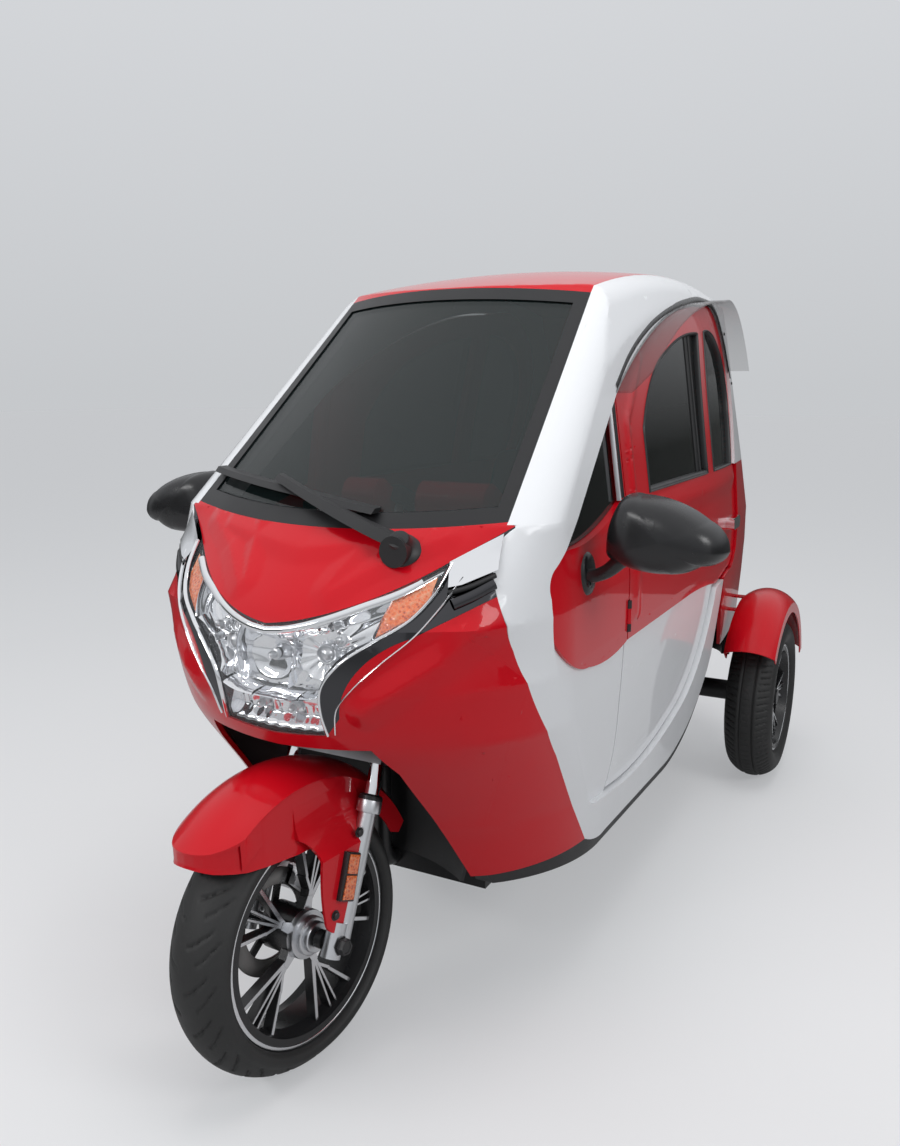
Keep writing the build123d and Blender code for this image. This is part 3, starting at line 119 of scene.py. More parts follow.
# %% Graphs
class Graph:
    """The nodes of one material or of the world."""

    def __init__(self, tree):
        self.tree = tree

    def node(self, kind, settings=None, inputs=None, output=0):
        """Any node: its settings first, then values or wires into its sockets."""
        made = self.tree.nodes.new("ShaderNode" + kind)
        for key, value in (settings or {}).items():
            if key == "stops":
                ramp = made.color_ramp
                ramp.elements[0].position, ramp.elements[0].color = value[0]
                ramp.elements[1].position, ramp.elements[1].color = value[-1]
                for position, colour in value[1:-1]:
                    ramp.elements.new(position).color = colour
            else:
                setattr(made, key, value)
        for key, value in (inputs or {}).items():
            self.join(value, made.inputs[key])
        return Wire(self, made.outputs[output] if made.outputs else None)

    def join(self, value, socket):
        if isinstance(value, Wire):
            self.tree.links.new(value.socket, socket)
        else:
            socket.default_value = value

    def place(self):
        """Where a point is on the object, in metres."""
        return self.node("TexCoord", output="Object")

    def height(self):
        return self.node("SeparateXYZ", {}, {0: self.place()}, "Z")

    def fade(self, low, high, below, above):
        """A value that goes from `below` to `above` between two heights."""
        inputs = {0: self.height(), 1: low, 2: high, 3: below, 4: above}
        return self.node("MapRange", {"clamp": True}, inputs)

    def noise(self, scale, detail=2.0):
        inputs = {"Vector": self.place(), "Scale": scale, "Detail": detail}
        return self.node("TexNoise", {}, inputs, "Fac")

    def speckle(self, scale, low, high, detail=3.0):
        """A wire that wanders between two values."""
        return low + self.noise(scale, detail) * (high - low)

    def cells(self, scale):
        """The distance to the nearest of many scattered points, as in a prismed lens."""
        return self.node("TexVoronoi", {}, {"Vector": self.place(), "Scale": scale}, "Distance")

    def mix(self, share, first, second):
        """A colour between two colours."""
        return self.node("Mix", {"data_type": "RGBA"}, {0: share, 6: first, 7: second}, 2)

    def ramp(self, stops, value):
        """A colour looked up in (position, colour) stops."""
        return self.node("ValToRGB", {"stops": stops}, {0: value})

    def ray(self, kind):
        """1 where a ray of this kind looks: Camera, Glossy or Transmission."""
        return self.node("LightPath", output=f"Is {kind} Ray")


print("networks with a name:", *(m for m in vars(Graph) if m[0] != "_"))


# %% Finishes
class Finish(Graph):
    """One material: fixed values go on the shader, varying ones are fed to it."""

    def __init__(self, name, **fixed):
        self.material = bpy.data.materials.new(name)
        self.material.use_nodes = True
        super().__init__(self.material.node_tree)
        self.shader = self.tree.nodes["Principled BSDF"]
        for key, value in fixed.items():
            self.shader.inputs[key.replace("_", " ")].default_value = value

    def feed(self, name, value):
        self.join(value, self.shader.inputs[name])
        return self

    def bump(self, height, distance, strength=1.0):
        """Turns a height wire into a bump on the shader's normal."""
        inputs = {"Height": height, "Distance": distance, "Strength": strength}
        return self.feed("Normal", self.node("Bump", {}, inputs))


print("a finish adds:", *(m for m in vars(Finish) if m[0] != "_"))


# %% [markdown]
# ## Paints
#
# The car wears a deep red and a clean white, both under a clear coat. One glossy layer
# would look like plain plastic, so the colour itself stays rather rough and a coat on top
# carries the sharp reflections. A very faint wide waviness in the bump keeps them from
# looking like a mirror, as on any moulded panel. Road dust dulls the paint a little near
# the floor, so roughness is fed by height and a slow noise.


# %% Paint finishes
DUST = (0.25, 0.22, 0.2, 1)


def paint(name, colour, dust):
    """Gloss paint with a wavy coat, duller towards the floor."""
    made = Finish(name, Coat_Weight=0.7, Coat_IOR=1.38, Coat_Roughness=0.03,
                  Specular_IOR_Level=0.1)
    grime = made.fade(0.15, 0.75, 1.0, 0.0) * made.speckle(9.0, 0.0, 1.0)
    made.feed("Base Color", made.mix(grime * dust, colour, DUST))
    made.feed("Roughness", 0.28 + grime * 0.25)
    made.bump(made.noise(6.0, 1.0) + made.noise(420.0, 1.0) * 0.012, 0.0012, 0.35)
    return made.material


RED = paint("red_paint", (0.58, 0.002, 0.010, 1), 0.05)
WHITE = paint("white_paint", (0.80, 0.81, 0.83, 1), 0.10)
print("paints:", RED.name, WHITE.name)

# %% [markdown]
# ## Plastics, rubber and metals
#
# Unpainted parts differ mostly in how rough they are and in the grain of their mould.
# Pictures of real surfaces could give that grain, but each would need its own layout on
# the mesh. Noise needs none and has no seams, so one helper takes the colour, the
# roughness and the size and depth of the grain.


# %% Moulded and metal finishes
def moulded(name, colour, rough, grain, depth):
    """A plastic or rubber with a fine mould grain and slow stains."""
    made = Finish(name)
    made.feed("Roughness", made.speckle(14.0, 0.75, 1.25) * rough)
    paler = tuple(1.35 * c for c in colour[:3]) + (1,)
    made.feed("Base Color", made.mix(made.speckle(22.0, 0.0, 0.6), colour, paler))
    made.bump(made.noise(grain), depth, 0.5)
    return made.material


def metal(name, colour, rough, grain, depth, wander=0.3):
    """A bare or plated metal whose polish wanders a little."""
    made = Finish(name, Metallic=1.0, Base_Color=colour)
    made.feed("Roughness", made.speckle(30.0, rough * (1 - wander), rough * (1 + wander)))
    made.bump(made.noise(grain), depth, 0.3)
    return made.material


BLACK = moulded("black_plastic", (0.012, 0.012, 0.013, 1), 0.46, 900.0, 0.0003)
SATIN = moulded("satin_black", (0.012, 0.012, 0.013, 1), 0.27, 700.0, 0.0002)
SEAL = moulded("seal_rubber", (0.009, 0.009, 0.010, 1), 0.42, 500.0, 0.0002)
TYRE = moulded("tyre_rubber", (0.016, 0.016, 0.016, 1), 0.62, 260.0, 0.0005)
FLOOR_PLASTIC = moulded("floor_plastic", (0.02, 0.02, 0.021, 1), 0.6, 300.0, 0.0006)
CHROME = metal("chrome", (0.86, 0.87, 0.89, 1), 0.05, 40.0, 0.0002)
DARK_CHROME = metal("dark_chrome", (0.075, 0.075, 0.08, 1), 0.07, 40.0, 0.0003)
DISC = metal("disc_steel", (0.24, 0.235, 0.23, 1), 0.3, 600.0, 0.0002)
SILVER = metal("silver_paint", (0.62, 0.63, 0.65, 1), 0.32, 500.0, 0.0002)
MACHINED = metal("machined_alloy", (0.72, 0.73, 0.75, 1), 0.22, 900.0, 0.0002)
STEEL = moulded("black_steel", (0.014, 0.014, 0.015, 1), 0.38, 300.0, 0.0004)
ALLOY_BLACK = moulded("black_alloy", (0.012, 0.012, 0.013, 1), 0.26, 200.0, 0.0002)
MIRROR = metal("mirror_glass", (0.9, 0.91, 0.93, 1), 0.015, 10.0, 0.00002)
print("plain finishes:", len(bpy.data.materials))

# %% [markdown]
# ## Glass
#
# Each pane is a thin solid. Full transmission would bend the light inside it, which takes
# many samples and shows no difference in so thin a pane. So the tint is a plain colour,
# and alpha lets the cabin show dimly behind the reflections. A real windscreen in
# daylight is darker than it seems, because the cabin behind it is dark.


# %% Glass finishes
def pane(name, colour, alpha, shine, coat=0.0, rough=0.02):
    """A pane that mixes its own reflection with what is behind it."""
    made = Finish(name, Base_Color=colour, Alpha=alpha, Specular_IOR_Level=shine,
                  Coat_Weight=coat, Coat_Roughness=0.01)
    made.feed("Roughness", made.speckle(5.0, rough, rough * 2))
    return made.material


WINDSCREEN = pane("windscreen_glass", (0.010, 0.018, 0.018, 1), 0.55, 0.75)
TINTED = pane("tinted_glass", (0.003, 0.004, 0.004, 1), 0.90, 0.4)
LENS = pane("lamp_lens", (0.9, 0.92, 0.95, 1), 0.05, 0.8, coat=0.5)
visor = Finish("visor_acrylic", Base_Color=(0.06, 0.045, 0.045, 1), Specular_IOR_Level=0.3)
facing = visor.node("LayerWeight", {}, {"Blend": 0.4}, "Facing")
visor.feed("Alpha", 0.14 + facing * 0.36).feed("Roughness", visor.speckle(6.0, 0.03, 0.09))
ACRYLIC = visor.material
print("panes:", WINDSCREEN.name, TINTED.name, LENS.name, ACRYLIC.name)

# %% [markdown]
# ## Lamp lenses
#
# Coloured lenses are prismed inside, so they sparkle in small cells. Modelled one by one,
# the prisms would take thousands of faces, and a cell pattern that drives both the bump
# and the roughness looks the same. The tail lamp is one moulding in bands, which a
# ramp over height gives: red foot, clear, red, amber. The turn lamp's amber is paler near
# its top and between the cells.

# %% Lens finishes
TAIL_FOOT, TAIL_HEIGHT = 0.62, 0.22
TAIL_RED, TAIL_CLEAR = (0.42, 0.002, 0.003, 1), (0.62, 0.62, 0.64, 1)
TAIL_BANDS = (
    (0.0, TAIL_RED), (0.22, TAIL_CLEAR), (0.30, TAIL_CLEAR), (0.32, TAIL_RED),
    (0.66, TAIL_RED), (0.68, (0.75, 0.14, 0.004, 1)),
)
AMBER_STOPS = (
    (0.10, (0.32, 0.022, 0.001, 1)),
    (0.48, (0.80, 0.13, 0.004, 1)),
    (0.98, (0.74, 0.26, 0.11, 1)),
)
tail = Finish("tail_lens", Coat_Weight=1.0, Coat_Roughness=0.02)
optics = tail.cells(120.0)
tail.feed("Base Color", tail.ramp(TAIL_BANDS, (tail.height() - TAIL_FOOT) / TAIL_HEIGHT))
tail.feed("Roughness", 0.12 + optics * 0.3).bump(optics, 0.003, 0.9)
RED_LENS = tail.material

amber = Finish("amber_lens", Coat_Weight=1.0, Coat_Roughness=0.03, Specular_IOR_Level=0.7)
cells = amber.cells(170.0)
upper = amber.fade(0.842, 0.884, 0.0, 1.0)
amber.feed("Base Color", amber.ramp(AMBER_STOPS, cells * 1.1 + upper * 0.5))
amber.feed("Roughness", amber.speckle(60.0, 0.1, 0.3)).bump(cells, 0.002, 0.8)
AMBER = amber.material
print("lenses:", RED_LENS.name, AMBER.name)

# %% [markdown]
# ## Rounding the moulded panels
#
# The solids are lofted between level outlines, which leaves a faint ridge at each level.
# The real nose is one flowing surface. A subdivision modifier would round each panel by
# itself and open the joints between them. So each panel is copied, cut into small
# triangles and moved from the ridged skin to a smooth one: the same outline numbers,
# blurred over height. Every panel moves by the same rule, and the joints stay shut.

# %% Level tables
LEVEL_Z = np.array([225, 400, 600, 700, 804, 957, 1380, 1500]) * MM
NOSE_Y = np.array([218, 128, -33, -64, -58, 112, 590, 726]) * MM
NOSE_R = np.array([412, 412, 412, 412, 440, 970, 494, 430]) * MM
CORNER_R = np.array([345, 350, 350, 350, 330, 100, 80, 80]) * MM
HALF_WIDTH = np.array([375, 390, 402, 406, 406, 393, 332, 310]) * MM
BLUR = 0.030
FINE_STEP = 0.002
FINE_Z = np.arange(0.0, 1.7, FINE_STEP)


def blurred(values):
    """A level table drawn over height, then smoothed by a bell of width BLUR."""
    drawn = np.interp(FINE_Z, LEVEL_Z, values)
    half = 50
    reach = np.arange(-half, half + 1) * FINE_STEP
    bell = np.exp(-0.5 * (reach / BLUR) ** 2)
    padded = np.pad(drawn, half, mode="edge")
    return np.convolve(padded, bell / bell.sum(), mode="valid")


TABLES = (NOSE_Y, NOSE_R, CORNER_R, HALF_WIDTH)
SMOOTH = [blurred(table) for table in TABLES]
largest = max(np.abs(np.interp(LEVEL_Z, FINE_Z, s) - t).max() for s, t in zip(SMOOTH, TABLES))
print("largest change of a level size:", round(largest / MM, 1), "mm")


# %% The ridged and the smooth nose
def nose_depth(x, front, radius, corner, width):
    """How far back the skin is at a distance x from the middle.

    A large arc in the middle runs into a small corner arc that ends on the side line:
    y = front + radius - sqrt(radius^2 - x^2) up to where they touch, and the same with
    the corner arc's own centre beyond."""
    x = np.minimum(np.abs(x), 0.93 * width)
    corner_x = width - corner
    meet = radius * corner_x / (radius - corner)
    middle = front + radius - np.sqrt(np.maximum(radius**2 - x**2, 0))
    centre_y = front + radius - np.sqrt((radius - corner) ** 2 - corner_x**2)
    side = centre_y - np.sqrt(np.maximum(corner**2 - (x - corner_x) ** 2, 0))
    return np.where(x < meet, middle, side)


def ease(t):
    """0 below 0, 1 above 1, and a smooth step t * t * (3 - 2 * t) between."""
    t = np.clip(t, 0, 1)
    return t * t * (3 - 2 * t)


def rounding(x, z):
    """The step from the ridged skin to the smooth one, fading out towards the sides."""
    ridged = nose_depth(x, *(np.interp(z, LEVEL_Z, table) for table in TABLES))
    smooth = nose_depth(x, *(np.interp(z, FINE_Z, table) for table in SMOOTH))
    width = np.interp(z, LEVEL_Z, HALF_WIDTH)
    return ridged, (smooth - ridged) * ease((0.86 * width - np.abs(x)) / (0.2 * width))


def to_smooth(points):
    """Moves points near the front skin from the ridged to the smooth surface."""
    x, y, z = points.T
    ridged, step = rounding(x, z)
    near = ease((0.24 - (y - FRONT_AXLE - ridged)) / 0.14)
    moved = points.copy()
    moved[:, 1] += step * near
    return moved


def unit(vectors):
    """The vectors, each divided by its length."""
    return vectors / np.maximum(np.linalg.norm(vectors, axis=-1, keepdims=True), 1e-12)


def with_normal(at, u, v, step):
    """Points at(u, v) and their normals: the cross product of the slopes along u and v."""
    normal = np.cross(at(u + step, v) - at(u - step, v), at(u, v + step) - at(u, v - step))
    return at(u, v), unit(normal)


def skin(x, z, out=0.0):
    """Points of the smooth nose at (x, z), moved out along the surface normal."""

    def at(x, z):
        ridged, step = rounding(x, z)
        return np.stack([x, FRONT_AXLE + ridged + step, z], axis=-1)

    points, normal = with_normal(at, np.asarray(x, float), np.asarray(z, float), 0.003)
    return points + normal * np.asarray(out)[..., None], normal


tip, _ = skin([0.0], [0.7])
print("the nose's tip lies at y =", round(float(tip[0, 1]), 4))

# %% [markdown]
# ## Creases
#
# The bonnet has a raised top edge and a few folded facets, and each fairing has one long
# soft fold. Drawn as edges of the mesh, the folds would need a new layout of every panel.
# Here a fold is a tent over a line: highest along it and falling off straight on both
# sides, so that light breaks along the line. It works on any fine mesh.

# %% Folds of the bonnet and the fairings
BONNET_FOLDS = (
    ((0, 914), (196, 938), 26, 8.0),
    ((122, 946), (82, 862), 28, 8.0),
    ((241, 942), (161, 905), 26, 7.0),
    ((161, 905), (90, 856), 28, 8.0),
)
FAIRING_FOLDS = (
    ((170, 672), (223, 713), 34, 12.0),
    ((223, 713), (275, 751), 34, 12.0),
    ((275, 751), (326, 800), 34, 11.0),
)


def tent(x, z, start, end, wide, tall):
    """tall * (1 - d / wide), where d is the distance to the line start-end (mm)."""
    a, b = np.array(start) * MM, np.array(end) * MM
    along = ((x - a[0]) * (b[0] - a[0]) + (z - a[1]) * (b[1] - a[1])) / ((b - a) @ (b - a))
    along = np.clip(along, 0, 1)
    off = np.hypot(x - a[0] - along * (b[0] - a[0]), z - a[1] - along * (b[1] - a[1]))
    return tall * MM * np.clip(1 - off / (wide * MM), 0, 1)


def folded(folds):
    """A reshape that first smooths the skin and then raises the folds, left and right."""

    def reshape(points):
        moved = to_smooth(points)
        x, z = np.abs(points[:, 0]), points[:, 2]
        rise = np.max([tent(x, z, *fold) for fold in folds], axis=0)
        ridged, _ = rounding(points[:, 0], z)
        outer = ease((0.03 - (points[:, 1] - FRONT_AXLE - ridged)) / 0.02)
        moved[:, 1] -= rise * outer
        return moved

    return reshape


DOOR_FOLDS = (
    ((668, 720), (668, 1110), 20, 6.0),
    ((668, 1110), (800, 1240), 18, 4.0),
    ((690, 912), (1640, 924), 40, 9.0),
    ((330, 905), (560, 930), 30, 5.0),
)
SIDE_TURN = 1.2
SIDE_ARC = 6.0


def side_x(y, z):
    """Half the cab's width: the level table, less the bow of the side behind SIDE_TURN,
    SIDE_ARC - sqrt(SIDE_ARC^2 - (y - SIDE_TURN)^2)."""
    bow = SIDE_ARC - np.sqrt(SIDE_ARC**2 - np.maximum(y - SIDE_TURN, 0) ** 2)
    return np.interp(z, LEVEL_Z, HALF_WIDTH) - bow


def door_folds(points):
    """Raises the doors' folds outwards; the tents are drawn in (y, z)."""
    moved = to_smooth(points)
    x, y, z = points[:, 0], points[:, 1] - FRONT_AXLE, points[:, 2]
    outer = ease((0.020 - (side_x(y, z) - np.abs(x))) / 0.010)
    rise = np.max([tent(y, z, *fold) for fold in DOOR_FOLDS], axis=0)
    moved[:, 0] += np.sign(x) * rise * outer
    return moved


print("folds:", len(BONNET_FOLDS), len(FAIRING_FOLDS), len(DOOR_FOLDS))

# %% [markdown]
# ## Copies that stand in for solids
#
# The solids themselves are never changed. A panel that needs a softer shape gets a copy:
# its corners are merged, its long edges halved until none is longer than `edge`, and its
# points moved by a rule. A bevel on the steep edges alone gives them a thin line of
# light. The copy replaces its solid and rides with the same body.


# %% Objects and soft copies
def new_object(name, mesh, body=None, slot=None):
    """An object that rides with a body, or without one a part of the studio."""
    made = bpy.data.objects.new(name, mesh)
    bpy.context.collection.objects.link(made)
    if body:
        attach(made, body)
    return made


STEEP = math.radians(50)
HALVINGS = 9


def soft_copy(node, material, edge=0.022, crease=32, reshape=to_smooth, bevel=0.0012):
    """A copy of a solid's mesh: merged, cut to short edges, reshaped, shaded smooth."""
    mesh = NODES[node].data.copy()
    body = bmesh.new()
    body.from_mesh(mesh)
    bmesh.ops.remove_doubles(body, verts=body.verts, dist=2e-5)
    corner = body.edges.layers.float.new("bevel_weight_edge")
    for e in body.edges:
        turn = e.calc_face_angle(0.0)
        e.smooth = turn < math.radians(crease)
        e[corner] = float(turn > STEEP)
    for _ in range(HALVINGS if edge else 0):
        longer = [e for e in body.edges if e.calc_length() > edge]
        if not longer:
            break
        bmesh.ops.subdivide_edges(body, edges=longer, cuts=1)
        bmesh.ops.triangulate(body, faces=[f for f in body.faces if len(f.verts) > 3])
    body.to_mesh(mesh)
    body.free()
    points = np.empty(len(mesh.vertices) * 3)
    mesh.vertices.foreach_get("co", points)
    if reshape:
        points = reshape(points.reshape(-1, 3))
    mesh.vertices.foreach_set("co", points.ravel())
    mesh.materials.clear()
    mesh.materials.append(material)
    mesh.polygons.foreach_set("use_smooth", np.ones(len(mesh.polygons), bool))
    piece = new_object(node + "_soft", mesh, body_of[node], slot_of[node])
    trim = piece.modifiers.new("edges", "BEVEL")
    trim.width = bevel
    trim.segments = 2
    trim.limit_method = "WEIGHT"
    trim.harden_normals = False
    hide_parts(node)
    return piece


print("bevels from:", round(math.degrees(STEEP)), "degrees")

# %% [markdown]
# ## Which finish goes where
#
# The painted and moulded panels get soft copies. Parts whose solid is already right,
# such as shafts and brackets, keep their mesh and only get a better finish.

# %% Panels
def by_node(*rows):
    """{node: finish} from rows of a finish and the names of its nodes."""
    return {node: finish for finish, nodes in rows for node in nodes.split()}


PANELS = by_node(
    (RED, "nose_fairings bonnet roof quarter_red door_red_left door_red_right"),
    (RED, "rear_body rear_fenders front_mudguard"),
    (WHITE, "side_frames_upper side_frames_lower quarter_white"),
    (WHITE, "door_white_left door_white_right"),
    (SEAL, "windscreen_rubber"),
    (WINDSCREEN, "windscreen"),
    (TINTED, "quarter_glass door_glass_left door_glass_right rear_window"),
    (BLACK, "sill_skirts rear_bumper"),
    (DARK_CHROME, "lamp_garnish"),
    (BLACK, "wiper"),
    (ACRYLIC, "rain_visors"),
    (BLACK, "dashboard"),
    (LENS, "lamp_lens"),
    (DARK_CHROME, "lamp_housing"),
    (RED_LENS, "tail_lamps"),
)
AS_BUILT = {"edge": None, "reshape": None}
DOOR_SKIN = {"edge": 0.020, "reshape": door_folds}
SPECIAL = {
    "bonnet": {"edge": 0.010, "reshape": folded(BONNET_FOLDS)},
    "nose_fairings": {"edge": 0.013, "reshape": folded(FAIRING_FOLDS)},
    "door_red_left": DOOR_SKIN,
    "door_red_right": DOOR_SKIN,
    "quarter_red": {"edge": 0.018, "reshape": door_folds},
    "rear_body": {"edge": 0.045},
    "dashboard": AS_BUILT,
    "rear_window": AS_BUILT,
    "rear_bumper": AS_BUILT,
    "tail_lamps": AS_BUILT,
    "rear_fenders": AS_BUILT,
    "wiper": {**AS_BUILT, "bevel": 0.0015},
    "front_mudguard": {**AS_BUILT, "bevel": 0.0015},
}
panels = [soft_copy(node, m, **SPECIAL.get(node, {})) for node, m in PANELS.items()]
print("panels:", len(panels), "triangles:", sum(len(p.data.polygons) for p in panels))

# %% Solids that keep their mesh
KEPT = by_node(
    (BLACK, "front_bulkhead battery_pack"),
    (FLOOR_PLASTIC, "floor_tub seat_box"),
    (STEEL, "chassis rear_axle spring_struts door_hinges handlebar front_spindle"),
    (SILVER, "fork_legs fork_yokes"),
    (CHROME, "fork_tubes door_handle_left door_handle_right"),
    (ALLOY_BLACK, "front_rim rear_rim_left rear_rim_right"),
)
for node, material in KEPT.items():
    mesh = NODES[node].data
    for index in range(len(mesh.materials)):
        mesh.materials[index] = material
print("replaced further down:", sorted(set(NODES) - set(PANELS) - set(KEPT)))

# %% [markdown]
# ## Building blocks for fine parts
#
# Everything finer than the solids is made of a few kinds of surface: a grid of points, a
# turned shape (a profile spun about an axis), a tube along a line, and a ribbon that lies
# on the body. Each returns points and faces, and `add_piece` joins any number of them
# into one object that rides with its body.


# %% Surfaces as grids
def surface(points, close_rows=False, close_columns=False, looks=None):
    """Points and quads of a grid of shape (rows, columns, 3), closed round if asked.

    The quads are turned to look along the vector `looks`. With looks="out" they look out
    of the shape: the sum over all quads of (middle of quad - middle of shape) . area, which
    is three times its volume, comes out above 0."""
    rows, columns = points.shape[:2]
    index = np.arange(rows * columns).reshape(rows, columns)
    if close_rows:
        index = np.vstack([index, index[:1]])
    if close_columns:
        index = np.hstack([index, index[:, :1]])
    corners = (index[:-1, :-1], index[1:, :-1], index[1:, 1:], index[:-1, 1:])
    points, faces = points.reshape(-1, 3), np.stack([c.ravel() for c in corners], axis=1)
    if looks is not None:
        quads = points[faces] - points.mean(axis=0)
        area = np.cross(quads[:, 2] - quads[:, 0], quads[:, 3] - quads[:, 1])
        towards = quads.mean(axis=1) if looks == "out" else np.array(looks)
        if np.sum(area * towards) < 0:
            faces = faces[:, ::-1]
    return points, faces


grid = np.zeros((3, 4, 3))
print("quads of a 3 x 4 grid:", len(surface(grid)[1]), "closed round:",
      len(surface(grid, close_columns=True)[1]))


# %% Pieces
def mesh_of(name, parts, material):
    """One mesh from several surfaces."""
    counts = np.cumsum([0] + [len(p) for p, _ in parts])
    points = np.concatenate([p for p, _ in parts])
    faces = np.concatenate([f + n for (_, f), n in zip(parts, counts)])
    mesh = bpy.data.meshes.new(name)
    mesh.from_pydata(points.tolist(), [], faces.tolist())
    mesh.materials.append(material)
    return mesh


def add_piece(name, parts, material, body, slot, crease=38):
    """One piece from several surfaces, shaded smooth except at edges above `crease`."""
    mesh = mesh_of(name, parts, material)
    mesh.polygons.foreach_set("use_smooth", np.ones(len(mesh.polygons), bool))
    mesh.set_sharp_from_angle(angle=math.radians(crease))
    print(f"{name}: {len(mesh.polygons)} quads on {body}")
    return new_object(name, mesh, body, slot)


print("pieces come from", add_piece.__name__)


# %% Turned shapes, curves and tubes
def turned(profile, centre, axis, steps):
    """(radius, distance) pairs in mm spun about an axis through a centre:
    radius * (cos(a) * side + sin(a) * other) + distance * axis."""
    axis = unit(np.array(axis, float))
    side = unit(np.cross(axis, (0.31, 0.17, 0.94)))
    other = np.cross(axis, side)
    radius, along = np.array(profile, float).T * MM
    angle = np.linspace(0, 2 * np.pi, steps, endpoint=False)
    ring = np.cos(angle)[:, None] * side + np.sin(angle)[:, None] * other
    points = radius[:, None, None] * ring + along[:, None, None] * axis
    return surface(points + np.array(centre, float), close_columns=True, looks="out")


def curve(points, count):
    """A smooth line through the given points p: cubic pieces that share their slopes m,
    (2t^3 - 3t^2 + 1) p0 + (t^3 - 2t^2 + t) m0 + (3t^2 - 2t^3) p1 + (t^3 - t^2) m1."""
    points = np.asarray(points, float)
    gaps = np.linalg.norm(np.diff(points, axis=0), axis=1)
    knots = np.concatenate([[0], np.cumsum(gaps)])
    slopes = np.gradient(points, knots, axis=0)
    at = np.linspace(0, knots[-1], count)
    k = np.clip(np.searchsorted(knots, at, side="right") - 1, 0, len(gaps) - 1)
    h = gaps[k][:, None]
    t = ((at - knots[k]) / gaps[k])[:, None]
    start = (2 * t**3 - 3 * t**2 + 1) * points[k] + (t**3 - 2 * t**2 + t) * h * slopes[k]
    finish = (3 * t**2 - 2 * t**3) * points[k + 1] + (t**3 - t**2) * h * slopes[k + 1]
    return start + finish


def tube(path, radius, steps):
    """A round tube, path + radius * (cos(a) * side + sin(a) * other), its radius in mm
    fixed or given point by point and nearly 0 at both ends, which closes it."""
    path = np.asarray(path, float)
    along = unit(np.gradient(path, axis=0))
    side = unit(np.cross(along, (0.23, 0.31, 0.92)))
    other = np.cross(along, side)
    radius = np.broadcast_to(np.asarray(radius, float) * MM, len(path)).copy()
    path = np.concatenate([path[:1], path, path[-1:]])
    side, other = (np.concatenate([v[:1], v, v[-1:]]) for v in (side, other))
    radius = np.concatenate([[1e-5], radius, [1e-5]])[:, None, None]
    angle = np.linspace(0, 2 * np.pi, steps, endpoint=False)[None, :, None]
    ring = np.cos(angle) * side[:, None] + np.sin(angle) * other[:, None]
    return surface(path[:, None] + radius * ring, close_columns=True, looks="out")


bend = curve([(0, 0), (1, 1), (2, 0)], 5)
print("a curve through three points:", bend.round(2).tolist())


# %% Strips and ribbons
def strip(path, normal, wide, tall, base, steps=7, closed=False):
    """A raised strip along a line on a surface, half an ellipse in section (mm): across
    by s * wide / 2 and up by base + (tall - base) * sqrt(1 - s^2), for s from -1 to 1."""
    if closed:
        ahead, behind = np.roll(path, -1, axis=0), np.roll(path, 1, axis=0)
        along = unit(ahead - behind)
    else:
        along = unit(np.gradient(path, axis=0))
    side = np.cross(normal, along)
    wide = np.broadcast_to(np.asarray(wide, float) * MM / 2, len(path))[:, None, None]
    s = np.cos(np.linspace(np.pi, 0, steps))
    height = (base + (tall - base) * np.sqrt(1 - s**2)) * MM
    points = path[:, None] + wide * s[None, :, None] * side[:, None]
    return surface(points + height[None, :, None] * normal[:, None], close_rows=closed)


def ribbon(path, wide, tall, base, count=90, mirrored=False, lift=0.0):
    """A strip along a line of (x, z) pairs in mm, lying on the smooth nose."""
    x, z = curve(np.array(path, float) * MM, count).T
    points, normal = skin(-x if mirrored else x, z, np.full(count, lift * MM))
    return strip(points, normal, wide, tall, base)


def both(path, **kwargs):
    """The same ribbon on the left and on the right."""
    return [ribbon(path, mirrored=m, **kwargs) for m in (False, True)]


print("points of a ribbon:", len(ribbon([(0, 700), (50, 720)], 4, 2, -1)[0]))


# %% [markdown]
# ## Head lamp
#
# Behind the clear lens lies one chromed shell with three bowls: a round one in the middle
# and one at each side, then a low tray with fine flutes. Bowls that are separate pieces
# would show gaps in the chrome. So the shell is one grid over the lamp's outline; its
# depth behind the skin is a base depth, deeper in each bowl by
# `extra * (1 - r^2 / R^2)`, and rising to the lens along the edge.

# %% Lamp reflector
LAMP_TOP = ((0, 804), (65, 815), (108, 828), (155, 847), (201, 865), (231, 883), (258, 900))
LAMP_LOW = ((0, 621), (99, 624), (104, 708), (133, 750), (183, 789), (233, 823), (258, 862))
BOWLS = (
    ((0, 752), 46, 15),
    ((104, 762), 50, 15),
    ((-104, 762), 50, 15),
    ((34, 652), 26, 7),
    ((-34, 652), 26, 7),
)
TRAY_TOP, FACETS_FROM = 0.66, 0.70
FORWARD = (0, -1, 0)


def lamp_edge(line, x):
    """The height of one of the lamp's edges at x, both in metres."""
    return np.interp(np.abs(x), *(np.array(line).T * MM))


def lamp_shell(columns=241, rows=91):
    """The reflector: depth(x, z) = edge rise + bowls + flutes or facets, behind the lens."""
    x = np.linspace(-0.255, 0.255, columns)
    top, low = lamp_edge(LAMP_TOP, x) - 0.003, lamp_edge(LAMP_LOW, x) + 0.003
    z = low + np.linspace(0, 1, rows)[:, None] * (top - low)
    x = np.broadcast_to(x, z.shape)
    depth = 0.009 + 0.022 * ease(np.minimum(z - low, top - z) / 0.016)
    for (cx, cz), radius, extra in BOWLS:
        r = np.hypot(x - cx * MM, z - cz * MM) / (radius * MM)
        depth = depth + extra * MM * np.clip(1 - r**2, 0, 1)
    flutes = 0.0012 * np.cos(x / 0.0038)
    facets = 0.0011 * np.cos(np.arctan2(z - 0.762, np.abs(x) - 0.104) * 14)
    depth += np.where(z < TRAY_TOP, flutes, 0.0) + np.where(z > FACETS_FROM, facets, 0.0)
    return surface(skin(x, z, -depth)[0], looks=FORWARD)


